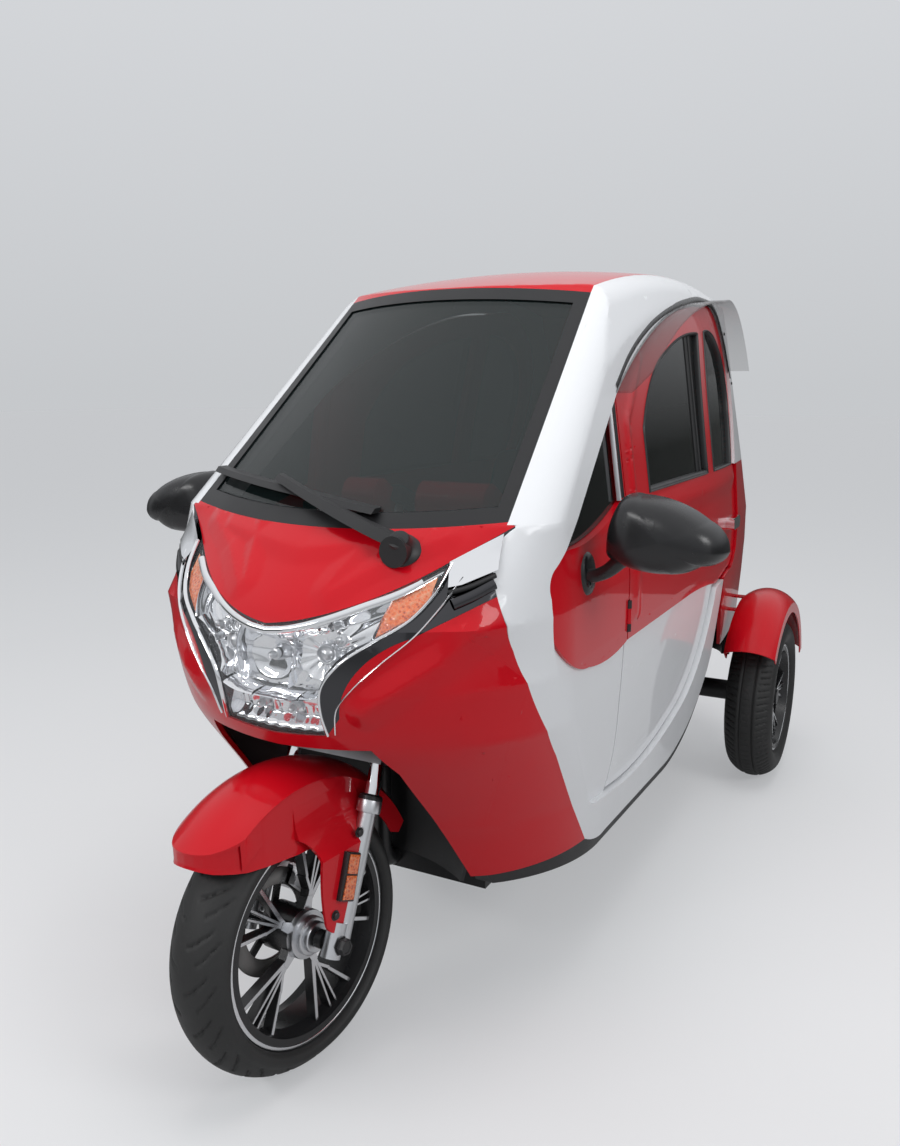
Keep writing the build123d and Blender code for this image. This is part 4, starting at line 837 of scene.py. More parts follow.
add_piece("lamp_reflector", [lamp_shell()], CHROME, "body", "lamp_inside", crease=60)
rib = ((50, 812), (57, 780), (56, 748), (47, 704))
shelf = ((0, 684), (40, 683), (72, 686), (97, 693))
divider = ((198, 862), (190, 826), (181, 792))
ribs = both(rib, wide=5, tall=8, base=-30, lift=-12)
ribs += both(shelf, wide=8, tall=10, base=-30, lift=-13)
ribs += both(divider, wide=4, tall=8, base=-22, lift=-12)
add_piece("lamp_ribs", ribs, CHROME, "body", "lamp_inside")


# %% [markdown]
# ## Bulbs and turn lamps
#
# Small bulbs sit in the bowls: a collar and a round tip each. A plain cylinder would look
# like a peg, and a profile turned about an axis gives every step of the collar at once.
# The turn lamps at both ends are wedges of amber plastic, grids like the shell.


# %% Bulbs and turn lamps
BULB = ((0.1, -4), (9, -4), (10, 0), (9, 3), (6, 4), (6.5, 9), (5.5, 14), (3, 17), (0.1, 18))
PROJECTOR = ((16, -8), (17, 4), (15, 7), (13.5, 6), (12, 3), (8, 7), (4, 9), (0.1, 9.6))
bulbs = []
for across, z, depth, profile in (
    (104, 762, 40, PROJECTOR),
    (0, 752, 40, BULB),
    (128, 792, 30, BULB),
    (34, 652, 34, BULB),
):
    for x in sorted({across, -across}):
        (point,), (normal,) = skin([x * MM], [z * MM], np.array([-depth * MM]))
        bulbs.append(turned(profile, point, normal, 28))
add_piece("lamp_bulbs", bulbs, SILVER, "body", "lamp_inside")


def turn_lamp(side, columns=60, rows=24):
    """A wedge just behind the lens: x from a slanted inner edge to the lamp's tip, z
    between the lamp's edges."""
    v = np.linspace(0, 1, rows)[:, None]
    x = (0.186 + 0.010 * v) + np.linspace(0, 1, columns) * (0.250 - 0.186 - 0.010 * v)
    top, low = lamp_edge(LAMP_TOP, x) - 0.009, lamp_edge(LAMP_LOW, x) + 0.005
    z = low + v * (top - low)
    return surface(skin(side * x, z, np.full(z.shape, -0.0075))[0], looks=FORWARD)


add_piece("turn_lamps", [turn_lamp(1), turn_lamp(-1)], AMBER, "body", "lamp_inside")

# %% [markdown]
# ## Trim round the lamp
#
# Bright trim frames the lamp: a broad band under the bonnet's edge, a slim bezel round
# the outside, and a second line that runs along the dark sweep beside it. At each outer
# corner a polished wedge fills the space up to the white frame. A bevelled curve would
# lift off the rounded nose or sink into it. So the lines are ribbons whose every point is
# worked out on the nose, and the wedge is a grid between two edges, gently hollow.

# %% Lamp trim
band = ((0, 797), (35, 801), (65, 808), (108, 822), (155, 841), (201, 860), (231, 878))
bezel = ((266, 903), (258, 866), (233, 824), (183, 788), (133, 749), (106, 710), (101, 671),
         (104, 626))
sweep = ((288, 884), (272, 846), (243, 800), (198, 756), (155, 712), (128, 676), (117, 630))
trim = both(band, wide=15, tall=2.4, base=-4, lift=-1.5)
trim += both(bezel, wide=6, tall=3.0, base=-3)
trim += both(sweep, wide=4, tall=2.6, base=-3)
add_piece("lamp_trim", trim, CHROME, "body", "chrome_trim")


def corner_plate(side):
    """Height over the skin: 3.5 mm at both edges, less 3 sin(pi v) between them."""
    t = np.linspace(0, 1, 30)
    upper = np.stack([np.interp(t, [0, 1], [262, 328]), np.interp(t, [0, 1], [904, 946])])
    lower = np.stack([np.interp(t, [0, 0.35, 1], [272, 290, 332]),
                      np.interp(t, [0, 0.35, 1], [868, 872, 893])])
    v = np.linspace(0, 1, 16)[:, None, None]
    x, z = (lower + v * (upper - lower)).transpose(1, 0, 2) * MM
    hollow = 0.0035 - 0.003 * np.sin(np.pi * v[:, :, 0]) * np.ones_like(x)
    return surface(skin(side * x, z, hollow)[0], looks=FORWARD)


slots = both(((274, 862), (300, 870), (331, 886)), wide=9, tall=1.2, base=-4, lift=1.5)
fill = both(((284, 846), (308, 858), (332, 874)), wide=20, tall=1.6, base=-6, lift=1)
plates = [corner_plate(side) for _, side in SIDES]
add_piece("corner_plates", plates, CHROME, "body", "chrome_trim")
add_piece("corner_slots", slots, BLACK, "body", "chrome_trim")
add_piece("corner_sweeps", fill, DARK_CHROME, "body", "chrome_trim")

# %% [markdown]
# ## Windows of the doors
#
# Each pane sits behind the paint, and a rubber lip closes the step all round. Drawn by
# eye, the lip would wander off the step. So it follows the outlines that the solids were
# cut with: straight runs and arcs through three points.


# %% Outlines
def arc(start, middle, end, count=14):
    """Points on the circle through three points, without the last one."""
    a, b, c = (complex(*p) for p in (start, middle, end))
    w = (c - a) / (b - a)
    centre = (b - a) * (w - abs(w) ** 2) / (2j * w.imag) + a
    from_angle = np.angle(a - centre)
    turn = np.angle((b - centre) / (a - centre)) % (2 * np.pi)
    whole = np.angle((c - centre) / (a - centre)) % (2 * np.pi)
    if turn > whole:
        whole -= 2 * np.pi
    angle = from_angle + np.linspace(0, whole, count, endpoint=False)
    ring = centre + abs(a - centre) * np.exp(1j * angle)
    return np.stack([ring.real, ring.imag], axis=1)


def evenly(line, count, endpoint=True):
    """Points at equal steps along a line, and how far along each one lies."""
    length = np.concatenate([[0], np.cumsum(np.linalg.norm(np.diff(line, axis=0), axis=1))])
    at = np.linspace(0, length[-1], count, endpoint=endpoint)
    return np.stack([np.interp(at, length, line[:, i]) for i in (0, 1)], axis=1), at


def traced(start, *steps):
    """A closed outline from points and (middle, end) arcs, as evenly spaced points."""
    here, found = start, []
    for step in (*steps, start):
        if isinstance(step[0], tuple):
            found.append(arc(here, *step))
            here = step[1]
        elif step != here:
            t = np.linspace(0, 1, 10, endpoint=False)[:, None]
            found.append(np.array(here) + t * (np.array(step) - np.array(here)))
            here = step
    points = np.concatenate(found)
    return evenly(np.vstack([points, points[:1]]), 160, endpoint=False)[0]


def inward_of(outline):
    """Unit normals of a closed outline, turned inwards by the sign of its area."""
    along = np.roll(outline, -1, axis=0) - np.roll(outline, 1, axis=0)
    area = np.sum(outline[:, 0] * np.roll(outline[:, 1], -1)
                  - outline[:, 1] * np.roll(outline[:, 0], -1))
    return unit(np.stack([-along[:, 1], along[:, 0]], axis=1)) * np.sign(area)


window_front = traced(
    (774, 958), (774, 1096), ((866, 1196), (1000, 1260)), ((1160, 1302), (1326, 1318)),
    ((1304, 1130), (1296, 958)),
)
window_rear = traced(
    (1366, 958), ((1374, 1140), (1396, 1324)), ((1500, 1326), (1588, 1292)),
    ((1660, 1210), (1668, 1110)), ((1652, 1010), (1630, 958)),
)
print("front window:", np.ptp(window_front, axis=0).round(), "mm")


# %% Rubber lips
def side_skin(y, z, inset, side=1):
    """Points and normals of the cab's side, set in by a distance in mm."""

    def at(y, z):
        return np.stack([side * (side_x(y, z) - inset * MM), y + FRONT_AXLE, z], axis=-1)

    points, normal = with_normal(at, y, z, 0.002)
    return points, normal * side


def lip(outline, side, wide=10, inset=7, tall=2.5, base=-11, move=3):
    """A rubber lip just inside a closed outline given in (y, z) mm."""
    y, z = ((outline + inward_of(outline) * move) * MM).T
    points, normal = side_skin(y, z, inset, side)
    return strip(points, normal, wide, tall, base, closed=True)


for label, side in SIDES:
    lips = [lip(window_front, side), lip(window_rear, side)]
    z = np.linspace(0.962, 1.305, 30)
    for wide, at in ((13, 1226), (7, 1252)):
        lips.append(strip(*side_skin(np.full(30, at * MM), z, 16, side), wide, 3.0, -4))
    y = np.linspace(0.780, 1.290, 40)
    lips.append(strip(*side_skin(y, np.full(40, 0.964), 12, side), 14, 6.0, -8))
    add_piece("window_lips_" + label, lips, SEAL, "door_" + label, "seal_rubber")

# %% [markdown]
# ## Visors, strips and screws
#
# A dark strip carries each rain visor along the white frame, and two more strips, one
# bright and one black, close the front quarter glass at the door post. They are raised
# strips like the lips, laid on the cab's side by the same function, so they bend with it.

# %% Strips on the frames
RAIL = ((604, 1180), (700, 1238), (860, 1305), (1000, 1345), (1200, 1383), (1400, 1402),
        (1560, 1388), (1660, 1320), (1735, 1206))
DOT = ((0.1, 3), (3.5, 2.6), (4.6, 1), (4.8, -1))
rail = curve(np.array(RAIL) * MM, 90)
post = np.linspace(0.966, 1.150, 24)
strips, bright, dots = [], [], []
for _, side in SIDES:
    strips.append(strip(*side_skin(rail[:, 0], rail[:, 1], 0, side), 17, 1.6, -3))
    strips.append(strip(*side_skin(np.full(24, 0.594), post, 6, side), 14, 2.5, -6))
    bright.append(strip(*side_skin(np.full(24, 0.577), post - 0.004, 7, side), 8, 2.5, -6))
    for y, z in ((1688, 1330), (1752, 1190)):
        (point,), (normal,) = side_skin(np.array([y * MM]), np.array([z * MM]), 0, side)
        dots.append(turned(DOT, point, normal, 20))
add_piece("visor_strips", strips, SATIN, "body", "seal_rubber")
add_piece("quarter_strips", bright, SILVER, "body", "seal_rubber")
add_piece("visor_screws", dots, BLACK, "body", "steel_parts")

# %% [markdown]
# ## Tyres
#
# A tread could be cut with booleans, groove by groove, which is slow and leaves ragged
# edges on the curved flank. Here a tyre is one closed surface: its section is carried
# round the axle, and points are moved inwards along the section's normal where a groove
# runs. The front tyre has curved slanted grooves, long and short in turn. The rear ones
# have two straight grooves and short cuts along the shoulders.


# %% The steered frame
RAKE = math.radians(25)
STEER_AXIS = np.array([0, math.sin(RAKE), math.cos(RAKE)])
STEER_AT = np.array([0, FRONT_AXLE + 0.03172, 0.2282])
REST_TURN = math.radians(-8)
FRONT_CENTRE = (0, FRONT_AXLE, 0.243)
REAR_CENTRE = {label: (side * 0.475, REAR_AXLE, 0.247) for label, side in SIDES}


def steered(part):
    """A surface made straight ahead, turned about the head axis k by the resting angle a:
    v * cos(a) + (k x v) * sin(a) + k * (k . v) * (1 - cos(a))."""
    points, faces = part
    v = points - STEER_AT
    swing = np.cross(STEER_AXIS, v) * math.sin(REST_TURN)
    rest = np.outer(v @ STEER_AXIS, STEER_AXIS) * (1 - math.cos(REST_TURN))
    return STEER_AT + v * math.cos(REST_TURN) + swing + rest, faces


print("the fork stands turned by", round(math.degrees(REST_TURN)), "degrees")


# %% Tyre treads
def valley(distance, half_wide):
    """1 in the middle of a groove, falling to 0 at its edges with a smooth step."""
    return ease((half_wide - np.abs(distance)) / (0.45 * half_wide))


def front_tread(round_mm, across, girth):
    """Groove depth in mm: slanted curves, 20 long and 20 short ones a side."""
    pitch = girth / 20
    side = np.where(across > 0, 0.0, 0.5)
    s = np.abs(across)
    depth = np.zeros_like(across)
    for shift, start, stop, deep in ((0.0, 6, 52, 3.0), (0.5, 26, 66, 2.6)):
        bent = 0.25 * s + 0.011 * s**2
        phase = (round_mm + bent) / pitch + shift + side
        off = ((phase % 1) - 0.5) * pitch / 1.25
        span = ease((s - start) / 4) * ease((stop - s) / 6)
        depth = np.maximum(depth, deep * valley(off, 3.2) * span)
    return depth


def rear_tread(round_mm, across, girth):
    """Groove depth in mm: two straight grooves and slanted cuts near the shoulders."""
    s = np.abs(across)
    rings = 4.0 * valley(s - 19, 3.4)
    pitch = girth / 76
    off = (((round_mm + 0.25 * s) / pitch) % 1 - 0.5) * pitch
    cuts = 3.0 * valley(off, 2.6) * ease((s - 29) / 3) * ease((68 - s) / 5)
    fine = 1.6 * valley(off, 1.9) * ease((13 - s) / 3)
    return np.maximum(rings, np.maximum(cuts, fine))


probe = np.linspace(-70, 70, 141)
print("deepest grooves:", front_tread(0.0, probe, 1527).max().round(1),
      rear_tread(0.0, probe, 1552).max().round(1), "mm")


# %% Tyre surfaces
def tyre_section(radius, width, bead, count=92):
    """(across, out) points from bead to bead: flat bead, round flank, crowned tread."""
    half, foot = width / 2, bead + 13
    bx, sx, sy = 0.74 * half, half - 7, radius - 28
    flank = (half, (sy + foot) / 2)
    right = arc((bx, foot), flank, (sx, sy), 30)
    crown = arc((sx, sy), (0, radius), (-sx, sy), 60)
    left = arc((-sx, sy), (-flank[0], flank[1]), (-bx, foot), 30)
    line = np.vstack([[(bx - 10, bead + 1), (bx, bead + 1)], right, crown, left,
                      [(-bx, foot), (-bx, bead + 1), (-bx + 10, bead + 1)]])
    even, at = evenly(line, count)
    soft = even.copy()
    soft[1:-1] = (even[:-2] + 2 * even[1:-1] + even[2:]) / 4
    return soft, at - at[-1] / 2


def tyre_surface(radius, width, bead, tread, centre, rows=480):
    """The section carried round the axle, less the tread's depth, plus two side rings."""
    section, across = tyre_section(radius, width, bead)
    along = unit(np.gradient(section, axis=0))
    normal = np.stack([along[:, 1], -along[:, 0]], axis=1)
    normal *= np.sign(np.sum(normal * (section - (0, bead)), axis=1, keepdims=True))
    angle = np.linspace(0, 2 * np.pi, rows, endpoint=False)[:, None]
    depth = tread(angle * radius, across[None, :] + 0 * angle, 2 * np.pi * radius)
    out = section[:, 1]
    rings = 0.9 * np.exp(-(((out - bead - 19) / 2.2) ** 2))
    rings += 0.7 * np.exp(-(((out - radius + 38) / 1.4) ** 2))
    move = rings[None, :] - depth
    x = section[None, :, 0] + normal[None, :, 0] * move
    r = out[None, :] + normal[None, :, 1] * move
    points = np.stack([x, r * np.cos(angle), r * np.sin(angle)], axis=-1) * MM
    return surface(points + np.array(centre), close_rows=True, looks="out")


FRONT_SIZE = (243, 130, 178)
REAR_SIZE = (247, 135, 152)
for node, part in (
    ("front_tyre", steered(tyre_surface(*FRONT_SIZE, front_tread, FRONT_CENTRE))),
    ("rear_tyre_left", tyre_surface(*REAR_SIZE, rear_tread, REAR_CENTRE["left"])),
    ("rear_tyre_right", tyre_surface(*REAR_SIZE, rear_tread, REAR_CENTRE["right"])),
):
    piece = add_piece(node + "_tread", [part], TYRE, body_of[node], "tyre_rubber", 50)
    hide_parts(node)

# %% [markdown]
# ## Wheels
#
# The cast wheels are black with turned faces: the front of every spoke and a thin ring
# round the lip are bare metal. A second material on the spokes' own front faces would
# reach right to their edges. So each bare face is a thin plate on the cone that the spokes
# end on, a little narrower than the spoke, and a black edge stays on both sides.


# %% Bare faces of the wheels
def spoke_bars(reach):
    """The bars of one spoke group: start, end, and the width at each, in mm."""
    ends = [
        (reach * math.cos(math.radians(d)), reach * math.sin(math.radians(d)))
        for d in (-16, -3.2, 2.2, 17)
    ]
    split, bend = 0.36 * reach, (0.6 * reach, 0.12 * reach)
    return (
        ((split - 4, -2), ends[0], 10, 8),
        ((split - 2, -1), ends[1], 7, 5),
        ((split - 2, 2), ends[2], 7, 5),
        ((0.44 * reach, 0.01 * reach), bend, 7, 7),
        ((bend[0] - 1, bend[1] - 2), ends[3], 7, 8),
        ((36, 0), (split + 4, 0), 23, 15),
    )


def bare_bar(bar, turn, reach, lift):
    """A tapered plate on the cone x = 32 + 10 * (r - 30) / (reach - 30)."""
    start, end, w0, w1 = bar
    start, end = np.array(start), np.array(end)
    along = (end - start) / np.linalg.norm(end - start)
    side = np.array([-along[1], along[0]])
    t = np.linspace(0, 1, 16)[:, None]
    wide = (w0 + (w1 - w0) * t - 1.8) / 2
    line = start + t * (end - start)
    across = np.array([-1.0, -0.96, 0.0, 0.96, 1.0])[None, :, None]
    flat = line[:, None] + across * wide[:, None] * side
    u = flat[..., 0] * math.cos(turn) - flat[..., 1] * math.sin(turn)
    v = flat[..., 0] * math.sin(turn) + flat[..., 1] * math.cos(turn)
    r = np.hypot(u, v)
    down = np.array([-0.8, 0, 0, 0, -0.8])[None, :]
    x = 32 + 10 * (r - 30) / (reach - 30) + lift + down
    return surface(np.stack([x, u, v], axis=-1) * MM)


def placed(part, centre=(0, 0, 0), side=1):
    """A surface moved to its place; side -1 mirrors it and turns its faces over."""
    points, faces = part
    return points * (side, 1, 1) + np.array(centre), faces[:, ::side]


def wheel_faces(bead, half):
    """Five spoke groups of bare bars, and the ring round the lip."""
    reach = bead - 10.5
    bars = [
        bare_bar(bar, k * 2 * math.pi / 5, reach, 0.35 + 0.12 * i)
        for k in range(5)
        for i, bar in enumerate(spoke_bars(reach))
    ]
    outer = half + 4
    ring = ((bead + 4, outer - 0.4), (bead + 5, outer + 0.9), (bead + 9, outer + 0.9),
            (bead + 10.8, outer + 0.1), (bead + 11.2, outer - 2))
    return bars + [turned(ring, (0, 0, 0), (1, 0, 0), 120)]


print("bars in a spoke group:", len(spoke_bars(100)))

# %% Faces, caps and the brake disc
FRONT_CAP = ((12, 60), (12.2, 65.2), (14, 65.6), (24.6, 65.6), (26.4, 64), (26.8, 55.2),
             (31.4, 54.9), (33.4, 53.4), (33.6, 45), (41.8, 44), (42.6, 42), (42.8, 33))
REAR_CAP = ((0.1, 39), (9, 39), (10.5, 37.5), (27, 36.8), (29, 35), (41, 34.8), (45.6, 33.6),
            (46.6, 30))
DISC_RING = ((66.5, -43.4), (95.2, -43.4), (96.5, -44.2), (96.5, -47.8), (95.2, -48.6),
             (66.5, -48.6))
faces = [steered(placed(f, FRONT_CENTRE)) for f in wheel_faces(178, 48.1)]
cap, disc = (steered(turned(p, FRONT_CENTRE, (1, 0, 0), 90)) for p in (FRONT_CAP, DISC_RING))
add_piece("front_wheel_faces", faces, MACHINED, "front_wheel", "black_alloy")
add_piece("front_hub_cap", [cap], SILVER, "front_wheel", "black_alloy")
add_piece("front_brake_disc", [disc], DISC, "front_wheel", "black_alloy")
for label, side in SIDES:
    centre, body = REAR_CENTRE[label], "rear_wheel_" + label
    faces = [placed(f, centre, side) for f in wheel_faces(152, 49.95)]
    hub = turned(REAR_CAP, centre, (side, 0, 0), 80)
    add_piece(body + "_faces", faces, MACHINED, body, "black_alloy")
    add_piece(body + "_cap", [hub], SILVER, body, "black_alloy")

# %% [markdown]
# ## Fork and front reflectors
#
# The lower legs carry a black dust seal where the bright tubes go in, and a nut on each
# end of the axle. On each mudguard stay sits a two part amber reflector in a black frame.
# In the picture the fork is turned a little. All its trim is made straight ahead, where
# the drawings are simple, and `steered` then turns it to the fork's angle.


# %% Fork trim
def along_leg(side, t, back=18):
    """A point of a fork leg, t mm up its axis, made straight ahead."""
    x = side * 101 * MM
    y = FRONT_AXLE + (back * math.cos(RAKE) + t * math.sin(RAKE)) * MM
    return x, y, 0.243 + (t * math.cos(RAKE) - back * math.sin(RAKE)) * MM


def pillow(outline, levels, axis=0, middle=None, looks="out"):
    """Shrunken copies of a closed outline in mm, middle + share * (outline - middle), set
    at each of the (share, place) levels along an axis."""
    middle = outline.mean(axis=0) if middle is None else np.array(middle)
    rows = [np.insert(middle + share * (outline - middle), axis, place, axis=1)
            for share, place in levels]
    return surface(np.array(rows) * MM + (0, FRONT_AXLE, 0), close_columns=True, looks=looks)


SEAL_RING = ((13.8, 244), (21.5, 244), (21.8, 247), (20.5, 252), (17, 254), (13.9, 255))
CLAMP = ((16.2, 222), (21.6, 223), (22, 225), (22, 243), (21.4, 245), (16.2, 245))
NUT = ((10, 118.2), (16.5, 118.2), (16.5, 120), (14.6, 120.2), (14.6, 130), (13.4, 132.5),
       (10.3, 132.8), (9.6, 131.5), (0.1, 131.5))
HEAD = ((9, 109), (9, 111), (6.6, 111.4), (6.4, 115), (5, 116), (0.1, 116))
seals, clamps, nuts = [], [], []
for _, side in SIDES:
    foot = along_leg(side, 0)
    seals.append(steered(turned(SEAL_RING, foot, STEER_AXIS, 40)))
    clamps.append(steered(turned(CLAMP, foot, STEER_AXIS, 40)))
    nuts.append(steered(turned(NUT, FRONT_CENTRE, (side, 0, 0), 6)))
    for y, z in ((74, 416), (0, 296)):
        centre = (0, FRONT_AXLE + y * MM, z * MM)
        nuts.append(steered(turned(HEAD, centre, (side, 0, 0), 24)))
add_piece("fork_seals", seals, SEAL, "steering", "seal_rubber")
add_piece("fork_clamps", clamps, SILVER, "steering", "fork_alloy")
add_piece("axle_nuts", nuts, STEEL, "steering", "steel_parts", 30)

# %% Front reflectors
BACK = ((0.97, 109), (1, 111), (1, 118), (0.95, 120), (0.001, 119.6))
UPPER = ((1, 118), (1, 121.5), (0.94, 122.2), (0.001, 122.2))
LOWER = ((1, 118), (1, 121.5), (0.95, 122.2), (0.001, 122.2))
reflector = traced((34, 398), (66, 383), (38, 306), (5, 321))
upper = traced((37.5, 393), (61, 382), (50, 352), (27, 362))
lower = traced((26, 359), (49, 349), (36, 311), (9.5, 322))
frames, lenses = [], []
for _, side in SIDES:
    frames.append(steered(placed(pillow(reflector, BACK), side=side)))
    for outline, levels in ((upper, UPPER), (lower, LOWER)):
        lenses.append(steered(placed(pillow(outline, levels), side=side)))
add_piece("reflector_frames", frames, BLACK, "steering", "black_plastic")
add_piece("reflector_lenses", lenses, AMBER, "steering", "red_lens")

# %% [markdown]
# ## Mudguard skirt
#
# The front mudguard is a pressed shell whose rim turns down all round its beak. Pulling
# the shell's own edge down would stretch it at the tip. So the skirt is one band of its
# own: it follows the mudguard's plan from one leg round the nose to the other, from a
# nearly level lower edge up to the crown, and it has an inner face.


# %% Skirt of the front mudguard
PLAN_Y = np.array([-211, -209, -204, -196, -184, -168, -145, -112, 60])
PLAN_X = np.array([0.0, 20, 34, 46, 56, 64.5, 70.5, 74.4, 74.4])
EDGE_Y = np.array([-215, -195, -150, -110, -40, 60])
EDGE_Z = np.array([446, 438, 427, 422, 414, 410])


def skirt(inset=0.0, count=161, rows=14):
    """x from the plan, z from the lower edge to the crown 246 + sqrt(R^2 - (y + 8)^2)."""
    t = np.linspace(-1, 1, count)
    run = np.concatenate([[0], np.cumsum(np.hypot(np.diff(PLAN_X), np.diff(PLAN_Y)))])
    at = np.abs(t) * run[-1]
    y, x = np.interp(at, run, PLAN_Y), np.sign(t) * np.interp(at, run, PLAN_X)
    y, x = y + inset * ease((-112 - y) / 70), x * (1 - inset / 74.4)
    low = np.interp(y, EDGE_Y, EDGE_Z)
    crown = 302 - 26 * (x / 74) ** 2
    top = 246 + np.sqrt(crown**2 - (y + 8) ** 2) - 0.6
    v = np.linspace(0, 1, rows)[:, None]
    z = low + v * (top - low)
    flare = 1.5 * (1 - ease(v / 0.25)) * (inset == 0)
    ahead = flare * ease((-140 - y) / 60)
    points = np.stack([x + np.sign(x) * (flare - ahead), y - ahead, z], axis=-1)
    return surface(points * MM + (0, FRONT_AXLE, 0), looks=(0, 1 if inset else -1, 0))


skirts = [steered(skirt()), steered(skirt(2.6))]
add_piece("mudguard_skirt", skirts, RED, "steering", "red_paint")

# %% [markdown]
# ## Wiper foot and springs
#
# The wiper stands on a flared black cone, a turned shape again. The rear struts are
# wrapped by coil springs. A screw modifier makes a helix too, but a tube along worked out
# points says the radius, the turns and the height in plain numbers.

# %% Wiper foot and springs
CONE = ((34, 0), (33, 3), (27, 7), (21.5, 13), (19, 20), (18.4, 28), (17, 31), (12, 32.5),
        (0.1, 33))
(point,), (normal,) = skin([0.178], [0.920], np.array([-0.002]))
add_piece("wiper_foot", [turned(CONE, point, normal, 48)], BLACK, "body", "black_plastic")

COIL_RADIUS, COIL_TURNS = 0.0245, 6.5
turn = np.linspace(0, COIL_TURNS * 2 * np.pi, 160)
coils = []
for _, side in SIDES:
    coils.append(tube(np.stack([
        side * 0.262 + COIL_RADIUS * np.cos(turn),
        REAR_AXLE + COIL_RADIUS * np.sin(turn),
        0.306 + 0.143 * turn / turn[-1],
    ], axis=1), 4.6, 10))
add_piece("strut_springs", coils, STEEL, "body", "steel_parts")

# %% [markdown]
# ## Mirrors
#
# A mirror is a drop shaped shell on a thick arm, and the arm stands on an oval plate with
# one screw. A ball pulled into shape would lose the flat rim and the drop's outline. So the
# shell is the outline of the glass, shrunk step by step towards the front.

# %% Mirror shells, glasses and feet
HOUSING_MIDDLE = (538, 926)
SHELL = ((0.90, 384), (0.945, 385), (0.955, 394), (0.975, 396), (0.993, 395), (1, 391),
         (0.995, 380), (0.975, 366), (0.94, 352), (0.885, 339), (0.80, 328), (0.68, 320),
         (0.5, 314.5), (0.28, 311.5), (0.001, 310.5))
GLASS = ((0.93, 388), (0.6, 386.5), (0.001, 386))
FOOT = ((1.06, -2), (1.0, 4), (0.9, 7), (0.7, 8.5), (0.001, 9))
SCREW = ((8, -1), (8, 2), (6.4, 3.2), (4, 3.2), (3.8, 1.6), (0.1, 1.6))
housing = traced(
    (429, 902), ((436, 955), (452, 988)), ((466, 998), (490, 998)), ((560, 984), (606, 958)),
    ((634, 932), (640, 908)), ((632, 894), (600, 884)), ((572, 868), (543, 864)),
    ((480, 868), (440, 882)), ((431, 890), (429, 902)),
)
arm = curve(np.array([(384, 850), (410, 851), (434, 861), (456, 880), (478, 904)]) * MM, 30)
thick = np.interp(np.linspace(0, 1, 30), [0, 0.3, 0.7, 1], [14, 12, 14, 21])
around = np.linspace(0, 2 * np.pi, 48, endpoint=False)
shells, glasses, feet, screws = [], [], [], []
for _, side in SIDES:
    shell = pillow(housing, SHELL, 1, HOUSING_MIDDLE)
    glass = pillow(housing, GLASS, 1, HOUSING_MIDDLE, looks=(0, 1, 0))
    line = np.stack([side * arm[:, 0], np.full(30, FRONT_AXLE + 0.362), arm[:, 1]], axis=1)
    shells += [placed(shell, side=side), tube(line, thick, 20)]
    glasses.append(placed(glass, side=side))
    rows = []
    for share, lift in FOOT:
        y, z = 374 + 30 * share * np.cos(around), 852 + 38 * share * np.sin(around)
        points, normals = side_skin(y * MM, z * MM, 8, side)
        rows.append(points + normals * lift * MM)
    feet.append(surface(np.array(rows), close_columns=True, looks="out"))
    (point,), (normal,) = side_skin(np.array([0.358]), np.array([0.838]), 0, side)
    screws.append(turned(SCREW, point, normal, 24))
shells = add_piece("mirror_shells", shells, SATIN, "body", "black_plastic", 50)
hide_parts("mirrors")
glasses = add_piece("mirror_panes", glasses, MIRROR, "body", "mirror_glass")
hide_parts("mirror_glasses")
add_piece("mirror_feet", feet, SATIN, "body", "black_plastic")
add_piece("mirror_screws", screws, STEEL, "body", "steel_parts")

# %% [markdown]
# ## Covers on the dashboard
#
# Two red covers stand on the dashboard and show low behind the windscreen. A bevelled box
# would have upright sides, so each is a side outline carried across, shrunk near both ends
# to round its edges.


# %% Dashboard covers
def cover(outline, x_from, x_to, edge=7):
    """A soft edged block: a (y, z) outline carried across, shrunk near both ends."""
    share = 1 - 2 * edge / np.ptp(outline, axis=0).min()
    levels = ((0.001, x_from), (share, x_from), (1, x_from + edge), (1, x_to - edge),
              (share, x_to), (0.001, x_to))
    return pillow(outline, levels)


cover_side = traced((292, 905), (286, 978), ((300, 1004), (330, 1008)), (404, 960), (420, 905))
covers = [cover(cover_side, -78, 6), cover(cover_side, 84, 236)]
add_piece("dash_covers", covers, RED, "body", "red_paint")

# %% [markdown]
# ## Seats
#
# Both seats are foam under black leather cloth. A cloth simulation can puff up such foam,
# but it takes time and moves the seams, and behind dark glass the folds hardly show. So
# each seat is one closed skin by formula: the side outline is carried across, pulled in
# towards both ends so that the edges are round, and pinched along the sewn channels.


# %% Leather
GRAIN_DARK, GRAIN_PALE = (0.018, 0.018, 0.019, 1), (0.03, 0.03, 0.031, 1)
leather = Finish("seat_leather", Specular_IOR_Level=0.4)
leather.feed("Base Color", leather.mix(leather.speckle(40.0, 0.0, 1.0), GRAIN_DARK, GRAIN_PALE))
leather.feed("Roughness", leather.speckle(60.0, 0.42, 0.62))
leather.bump(leather.noise(380.0, 3.0), 0.0006, 0.6)
print("seat finish:", leather.material.name)


# %% Seat cushions
def seat_skin(outline, half, channels, edge=34, pinch=5, steps=71):
    """outline moved inwards by edge * (1 - (1 - t^6)^(1/3)) plus pinch at the channels."""
    t = np.linspace(-1, 1, steps)
    middle = outline.mean(axis=0)
    inset = edge * (1 - (1 - np.abs(t) ** 6) ** (1 / 3))
    for at in channels:
        inset = inset + pinch * np.exp(-(((t * half - at) / 5) ** 2))
    flat = outline[None] + inward_of(outline)[None] * inset[:, None, None]
    flat[[0, -1]] = middle + 0.05 * (flat[[0, -1]] - middle)
    x = np.broadcast_to((t * half)[:, None], flat.shape[:2])
    points = np.concatenate([x[..., None], flat], axis=2) * MM
    return surface(points + (0, FRONT_AXLE, 0), close_columns=True, looks="out")


